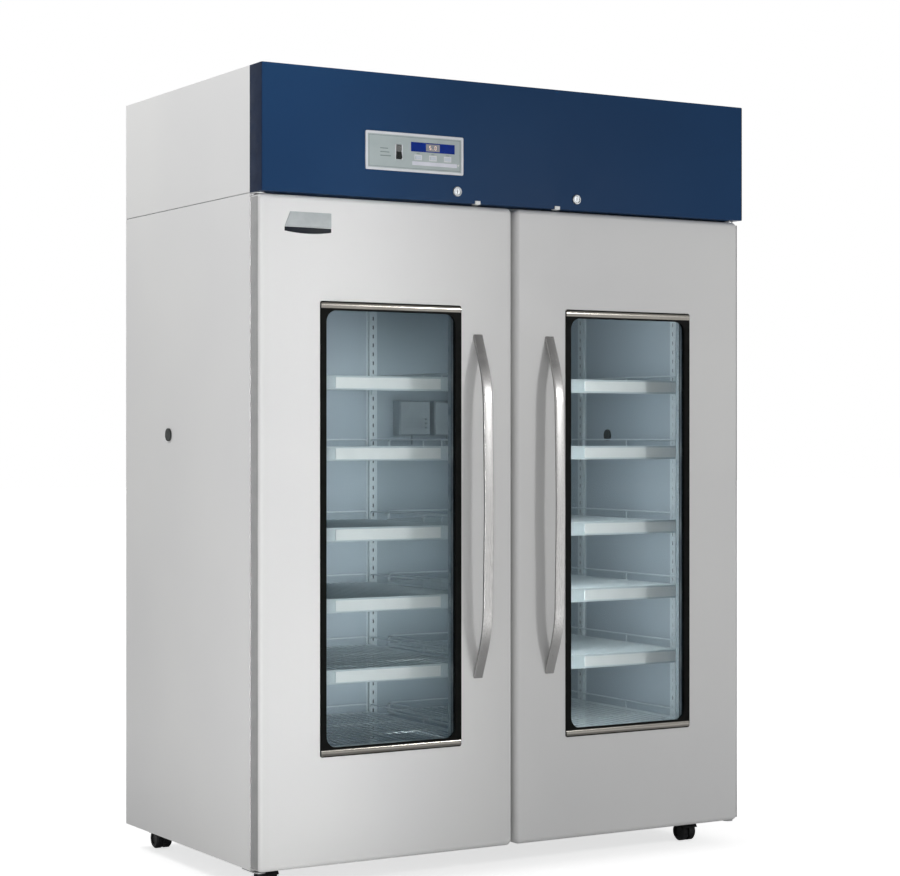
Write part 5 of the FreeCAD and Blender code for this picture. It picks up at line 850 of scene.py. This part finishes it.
def control_panel():
    """The panel's printed film, the display's lit window with two digits, a pale label field
    and a small indicator lamp."""
    low, high = box_mm("control_bezel")
    face = low[1] + PANEL_RECESS
    print_face = face - INK
    x0, x1 = low[0] + PANEL_RIM, high[0] - PANEL_RIM
    z0, z1 = low[2] + PANEL_RIM, high[2] - PANEL_RIM
    keys = [opening_round(key, KEY_CLEARANCE) for key in ("set_key", "up_key", "down_key")]
    rocker = opening_round("power_rocker", ROCKER_CLEARANCE)
    ink = panel_prints(print_face, x0, x1, z0, z1, keys, rocker)

    low, high = box_mm("display_window")
    lens_x0, lens_x1 = low[0] + LENS_BORDER, high[0] - LENS_BORDER
    lens_z0, lens_z1 = low[2] + LENS_BORDER, high[2] - LENS_BORDER
    holes = keys + [(lens_x0 + LENS_LAP, lens_x1 - LENS_LAP, lens_z0 + LENS_LAP,
                     lens_z1 - LENS_LAP), rocker]
    film = [block(*rect, face, INK)
            for rect in tiles(x0 + FILM_MARGIN, x1 - FILM_MARGIN, z0 + FILM_MARGIN,
                              z1 - FILM_MARGIN, holes)]
    key_row = keys[0][2]
    pale = [block(LABEL_X0, LABEL_X1, key_row - LABEL_BOTTOM, key_row - LABEL_TOP, print_face,
                  INK, 0, LABEL_CORNER)]
    lamp_x, lamp_z = INDICATOR_PLACE
    lamp = [turned(INDICATOR_DOME, (lamp_x, print_face, lamp_z), (0, -1, 0), 16)]
    lit = [block(DIGIT_WINDOW_X0, DIGIT_WINDOW_X1, lens_z0 + DIGIT_WINDOW_MARGIN,
                 lens_z1 - DIGIT_WINDOW_MARGIN, low[1], INK)]
    z = (lens_z0 + lens_z1) / 2
    y = low[1] - INK
    digits = [shell for shape, x in DIGITS for shell in digit(shape, x, z, y)]
    foot = z - DIGIT_HEIGHT / 2
    digits.append(block(POINT_X0, POINT_X1, foot, foot + POINT_HEIGHT, y, INK))
    for name, shells, material, slot in (
            ("panel_face_film", film, panel_film, "silver_plastic"),
            ("panel_prints", ink, print_ink, "key_plastic"),
            ("panel_label_field", pale, label_film, "white_plastic"),
            ("panel_lamp", lamp, white_plastic, "white_plastic"),
            ("display_digit_window", lit, digit_glass, "display_lens"),
            ("display_digits", digits, digit_light, "lamp_lens")):
        piece(name, shells, material, "cabinet")


control_panel()


# Small parts

def faced(shell, place, out):
    """A shell made in a flat (right, up, out) frame at the origin, set down on an upright
    face. On a level face it shrinks to a line, since right x up is none there."""
    points, faces = shell
    return points @ np.stack([np.cross(UP, out), UP, out]).astype(float) + place, faces


def upright_slot_shade():
    """Painted shade of the uprights' hanging slots, one every 25 mm, as thin dark plates."""
    outline = rounded_box_outline(*SLOT, SLOT_CORNER, 2)
    slot = plate(outline, (0, 0, 0), (1, 0, 0), (0, 1, 0), SLOT_RISE)
    low, high = box_mm("shelf_supports")
    heights = np.arange(low[2] + SLOT_BOTTOM_MARGIN, high[2] - SLOT_TOP_MARGIN, SLOT_PITCH)
    side = low[0] + UPRIGHT_DEPTH
    spots = [((sign * side, FRONT + y, 0), (-sign, 0, 0)) for sign in (1, -1)
             for y in UPRIGHT_PLACES]
    spots += [((0, high[1] - UPRIGHT_DEPTH, 0), (0, -1, 0)),
              ((0, FRONT + MULLION_DEPTH + UPRIGHT_DEPTH, 0), (0, 1, 0))]
    return [faced(slot, np.array(place, float) + (0, 0, z), out) for place, out in spots
            for z in heights]


def pan_screw(diameter, place, out):
    """A pan head r*cos(t) wide and h*sin(t) high on its washer."""
    r = diameter / 2
    height = HEAD_RISE * diameter
    t = np.linspace(0, math.radians(78), 6)
    dome = list(zip(r * np.cos(t), WASHER_RISE + (height - WASHER_RISE) * np.sin(t)))
    rim = WASHER_REACH * r
    washer = [(rim, 0.0), (rim, WASHER_EDGE), (r, WASHER_RISE)]
    return turned(washer + dome[1:] + [(0.0, height)], place, out, 20)


def cross_recess_shade(diameter, place, out):
    """Painted shade of a cross recess: two crossed dark bars, as it looks from a step away."""
    r = RECESS_REACH * diameter
    outline = rounded_box_outline(2 * r, 0.24 * r + 0.3, 0.1, 1)
    foot = (0, 0, HEAD_RISE * diameter - 0.1)
    shells = []
    for angle in (RECESS_TURN, RECESS_TURN + math.pi / 2):
        along = (math.cos(angle), math.sin(angle), 0)
        across = (-math.sin(angle), math.cos(angle), 0)
        shells.append(faced(plate(outline, foot, along, across, 0.22), place, out))
    return shells


def rear_screw_places():
    """Screws round the edges of the two rear sheets."""
    low, high = box_mm("back_panel")
    seam = high[2]
    top = box_mm("rear_grille")[1][2]
    x = high[0] - SCREW_MARGIN
    column = np.linspace(low[2] + ROW_BOTTOM_MARGIN, seam - ROW_TOP_MARGIN, SCREWS_IN_ROW)
    spots = [(sign * x, z) for sign in (-1, 1) for z in column]
    spots += [(sign * x, (seam + top) / 2) for sign in (-1, 1)]
    spots += [(across, z) for z in (low[2] + SCREW_MARGIN, seam - SCREW_MARGIN,
                                    seam + SCREW_MARGIN, top - SCREW_MARGIN)
              for across in np.linspace(-x, x, SCREWS_IN_ROW)]
    return [(SHEET_SCREW, (across, high[1], z), (0, 1, 0)) for across, z in spots]


def caster_screw_places():
    """Four bolts up through the corners of each caster's top plate."""
    low, high = box_mm("caster_plates")
    face = high[2] - CASTER_PLATE[1]
    reach = CASTER_PLATE[0] / 2
    bolts = (-CASTER_BOLT_REACH, CASTER_BOLT_REACH)
    return [(CASTER_SCREW, (x + dx, y + dy, face), (0, 0, -1))
            for x in (low[0] + reach, high[0] - reach) for y in (low[1] + reach, high[1] - reach)
            for dx in bolts for dy in bolts]


def joint_strip():
    """Flat strip over the joint between the two rear sheets."""
    high = box_mm("back_panel")[1]
    outline = rounded_box_outline(2 * high[0] - STRIP_MARGIN, STRIP_WIDTH, STRIP_CORNER, 2)
    return plate(outline, (0, high[1], high[2]), (-1, 0, 0), UP, STRIP_RISE, STRIP_EDGE)


# Painted shade: dark plates in the uprights' slot holes.
piece("upright_slot_shade", upright_slot_shade(), slot_shadow, "cabinet")
piece("rear_joint_strip", [joint_strip()], zinc_sheet, "cabinet")
screws = rear_screw_places() + caster_screw_places()
heads = [pan_screw(*screw) for screw in screws]
recess_shade_bars = [shell for screw in screws for shell in cross_recess_shade(*screw)]
piece("sheet_screws", heads, screw_zinc, "cabinet")
# Painted shade: dark bars in the screws' cross recesses.
piece("screw_recess_shade", recess_shade_bars, slot_shadow, "cabinet")


def door_gap_shade_strip():
    """Painted shade in the gap between the closed doors: a dark strip on the centre post."""
    low, high = box_mm("center_mullion")
    return block(-MEETING_HALF, MEETING_HALF, low[2] + MEETING_MARGIN, high[2] - MEETING_MARGIN,
                 low[1], MEETING_RISE, MEETING_EDGE, MEETING_CORNER)


def side_cap(node, side, margins, corner, shift=0.0):
    """Thin plate on the outer side of a node, smaller than it by margins along Y and Z."""
    low, high = box_mm(node)
    outer = max(abs(low[0]), abs(high[0]))
    width, height = high[1] - low[1] - margins[0], high[2] - low[2] - margins[1]
    place = (side * outer, (low[1] + high[1]) / 2 + shift, (low[2] + high[2]) / 2)
    return plate(rounded_box_outline(width, height, corner, 2), place, (0, side, 0), UP,
                 CAP_RISE, CAP_EDGE)


def lock_rims():
    """Domed ring on each lock's flange: r from 8 to 12.4 mm, h*sin(t) high."""
    low, high = box_mm("lock_housings")
    t = np.linspace(0, math.pi, 9)
    rise, radius = LOCK_RING_RISE * np.sin(t), LOCK_RING_RADIUS + LOCK_RING_HALF * np.cos(t)
    turn = np.linspace(0, 2 * math.pi, 33)[:-1]
    around = np.stack([np.cos(turn), 0 * turn, np.sin(turn)], 1)
    dome = radius[None, :, None] * around[:, None] + rise[None, :, None] * np.array((0, -1, 0))
    return [((dome + (x, low[1], low[2] + NUT_HALF_FLATS)).reshape(-1, 3),
             ring_faces(len(turn), len(t), True))
            for x in (low[0] + NUT_HALF_CORNERS, high[0] - NUT_HALF_CORNERS)]


# Thin dark navy plates on the header's two ends, darker than its front.
dark_end_plates = [side_cap("header_fascia", side, CAP_MARGINS, CAP_CORNER) for side in (-1, 1)]
# Thin grey plates on the doors' outer sides, darker than the white coat beside them.
for side, name in ((-1, "left"), (1, "right")):
    profile = side_cap(name + "_door_panel", side, EDGE_MARGINS, EDGE_CORNER, EDGE_SHIFT)
    piece(name + "_door_edge_profile", [profile], side_plate_grey, name + "_door")
piece("dark_header_end_plates", dark_end_plates, header_end_dark, "cabinet")
piece("lock_rims", lock_rims(), lock_chrome, "cabinet")
# Painted shade: a dark strip where the gap between the doors shows the centre post.
piece("door_gap_shade_strip", [door_gap_shade_strip()], gap_shade_material, "cabinet")


# Camera, floor and light

# Shares of full white: what the room lights with, and what its ceiling and the floor under
# the object show. The ceiling's share falls between two angles above the horizon, in degrees,
# and the floor's rises between two distances from the object's middle, in metres
AMBIENT = 0.3
SKY_LEVEL = 0.13
SKY_BAND = (13, 52)
FLOOR_UNDER = {"camera": 0.68, "mirrored": 0.05}
FLOOR_FADE = (0.7, 2.6)
FLOOR_REACH = 40.0
# Sheets of clear glass that a ray may pass
GLASS_LAYERS = 24
# name, place, aim, size, watts, spread in degrees
LAMPS = (("front_strip_lamp", (-2.2, -3.2, 1.2), (-0.62, -0.38, 1.2), (0.4, 2.4), 2.3, 18),
         ("right_front_lamp", (2.12, -3.9, 1.88), (0.0, -0.4, 1.1), (0.5, 0.4), 38.0, 180),
         ("left_high_lamp", (-2.4, 0.9, 3.2), (-0.7, 0.1, 1.7), (1.0, 1.0), 30.0, 180),
         ("right_cabinet_lamp", (0.042, -0.314, 0.85), (0.64, -0.1, 0.85), (0.02, 1.2), 1.9, 90),
         ("left_cabinet_lamp", (-0.13, -0.25, 0.85), (-0.19, 0.36, 0.85), (0.03, 1.2), 0.6, 50))


def camera_rays(tree):
    """1 for what the camera sees directly, else 0."""
    return add(tree, "LightPath").outputs["Is Camera Ray"]


def mirrored_rays(tree):
    """1 for what is seen in a mirror image or through glass, else 0."""
    path = add(tree, "LightPath").outputs
    return add(tree, "Math", {0: path["Is Glossy Ray"], 1: path["Is Transmission Ray"]},
               operation="MAXIMUM").outputs[0]


def room(scene):
    """A white horizon under a dim ceiling, for the camera and for everything that mirrors
    them; it lights the object with an even, weaker glow."""
    scene.world = bpy.data.worlds.new("studio")
    tree = empty_tree(scene.world)
    direction = add(tree, "TexCoord").outputs["Generated"]
    rise = add(tree, "SeparateXYZ", {0: direction}).outputs["Z"]
    start, end = (math.sin(math.radians(angle)) for angle in SKY_BAND)
    sky = add(tree, "MapRange", {"Value": rise, "From Min": start, "From Max": end,
                                 "To Min": 1.0, "To Max": SKY_LEVEL},
              interpolation_type="SMOOTHSTEP").outputs[0]
    seen = add(tree, "Math", {0: mirrored_rays(tree), 1: camera_rays(tree)},
               operation="MAXIMUM").outputs[0]
    strength = add(tree, "Mix", {0: seen, 2: AMBIENT, 3: sky}).outputs[0]
    back = add(tree, "Background", {"Color": (1, 1, 1, 1), "Strength": strength}).outputs[0]
    add(tree, "OutputWorld", {"Surface": back})


def white_floor(scene):
    """A white floor that stays white away from the object. Near it the glow is weaker, so
    that the soft shadow shows and mirrors look darker there."""
    floor = bpy.data.objects.new("floor", bpy.data.meshes.new("floor"))
    corners = [(-1, -1, 0), (1, -1, 0), (1, 1, 0), (-1, 1, 0)]
    floor.data.from_pydata((FLOOR_REACH * np.array(corners)).tolist(), [], [(0, 1, 2, 3)])
    scene.collection.objects.link(floor)
    material, tree, shader = new_finish("white_floor", Base_Color=linear("#F0F0F0"),
                                        Roughness=0.9, Specular_IOR_Level=0.0,
                                        Emission_Color=(1, 1, 1, 1))
    place = add(tree, "TexCoord").outputs["Object"]
    distance = add(tree, "VectorMath", {0: place}, operation="LENGTH").outputs["Value"]
    glows = []
    for rays, near in ((camera_rays(tree), FLOOR_UNDER["camera"]),
                       (mirrored_rays(tree), FLOOR_UNDER["mirrored"])):
        fade = add(tree, "MapRange", {"Value": distance, "From Min": FLOOR_FADE[0],
                                      "From Max": FLOOR_FADE[1], "To Min": near, "To Max": 1.0},
                   interpolation_type="SMOOTHSTEP").outputs[0]
        glows.append(add(tree, "Math", {0: rays, 1: fade}, operation="MULTIPLY").outputs[0])
    glow = add(tree, "Math", {0: glows[0], 1: glows[1]}, operation="MAXIMUM")
    tree.links.new(glow.outputs[0], shader.inputs["Emission Strength"])
    floor.data.materials.append(material)


def lamps(scene):
    """Area lamps that light the left of the front most; two of them stand in the cabinet."""
    for name, place, aim, size, power, beam in LAMPS:
        lamp = bpy.data.lights.new(name, "AREA")
        lamp.shape = "RECTANGLE"
        lamp.size, lamp.size_y = size
        lamp.energy = power
        lamp.spread = math.radians(beam)
        made = bpy.data.objects.new(name, lamp)
        scene.collection.objects.link(made)
        made.location = place
        toward = np.array(aim) - np.array(place)
        made.rotation_euler = (math.acos(-toward[2] / np.linalg.norm(toward)), 0,
                               math.atan2(toward[1], toward[0]) - math.pi / 2)
        made.visible_camera = False


def camera(scene):
    """A level camera at the photograph's place, turned to the right by its yaw."""
    data = bpy.data.cameras.new("camera")
    data.sensor_width = SENSOR_WIDTH
    data.lens = CAMERA_FOCUS_PX / PHOTO_WIDTH * SENSOR_WIDTH
    made = bpy.data.objects.new("camera", data)
    scene.collection.objects.link(made)
    made.location = CAMERA_PLACE
    made.rotation_euler = (math.pi / 2, 0, -CAMERA_YAW)
    scene.camera = made


scene = bpy.context.scene
room(scene)
white_floor(scene)
lamps(scene)
camera(scene)
scene.view_settings.view_transform = "Standard"
scene.cycles.transparent_max_bounces = GLASS_LAYERS
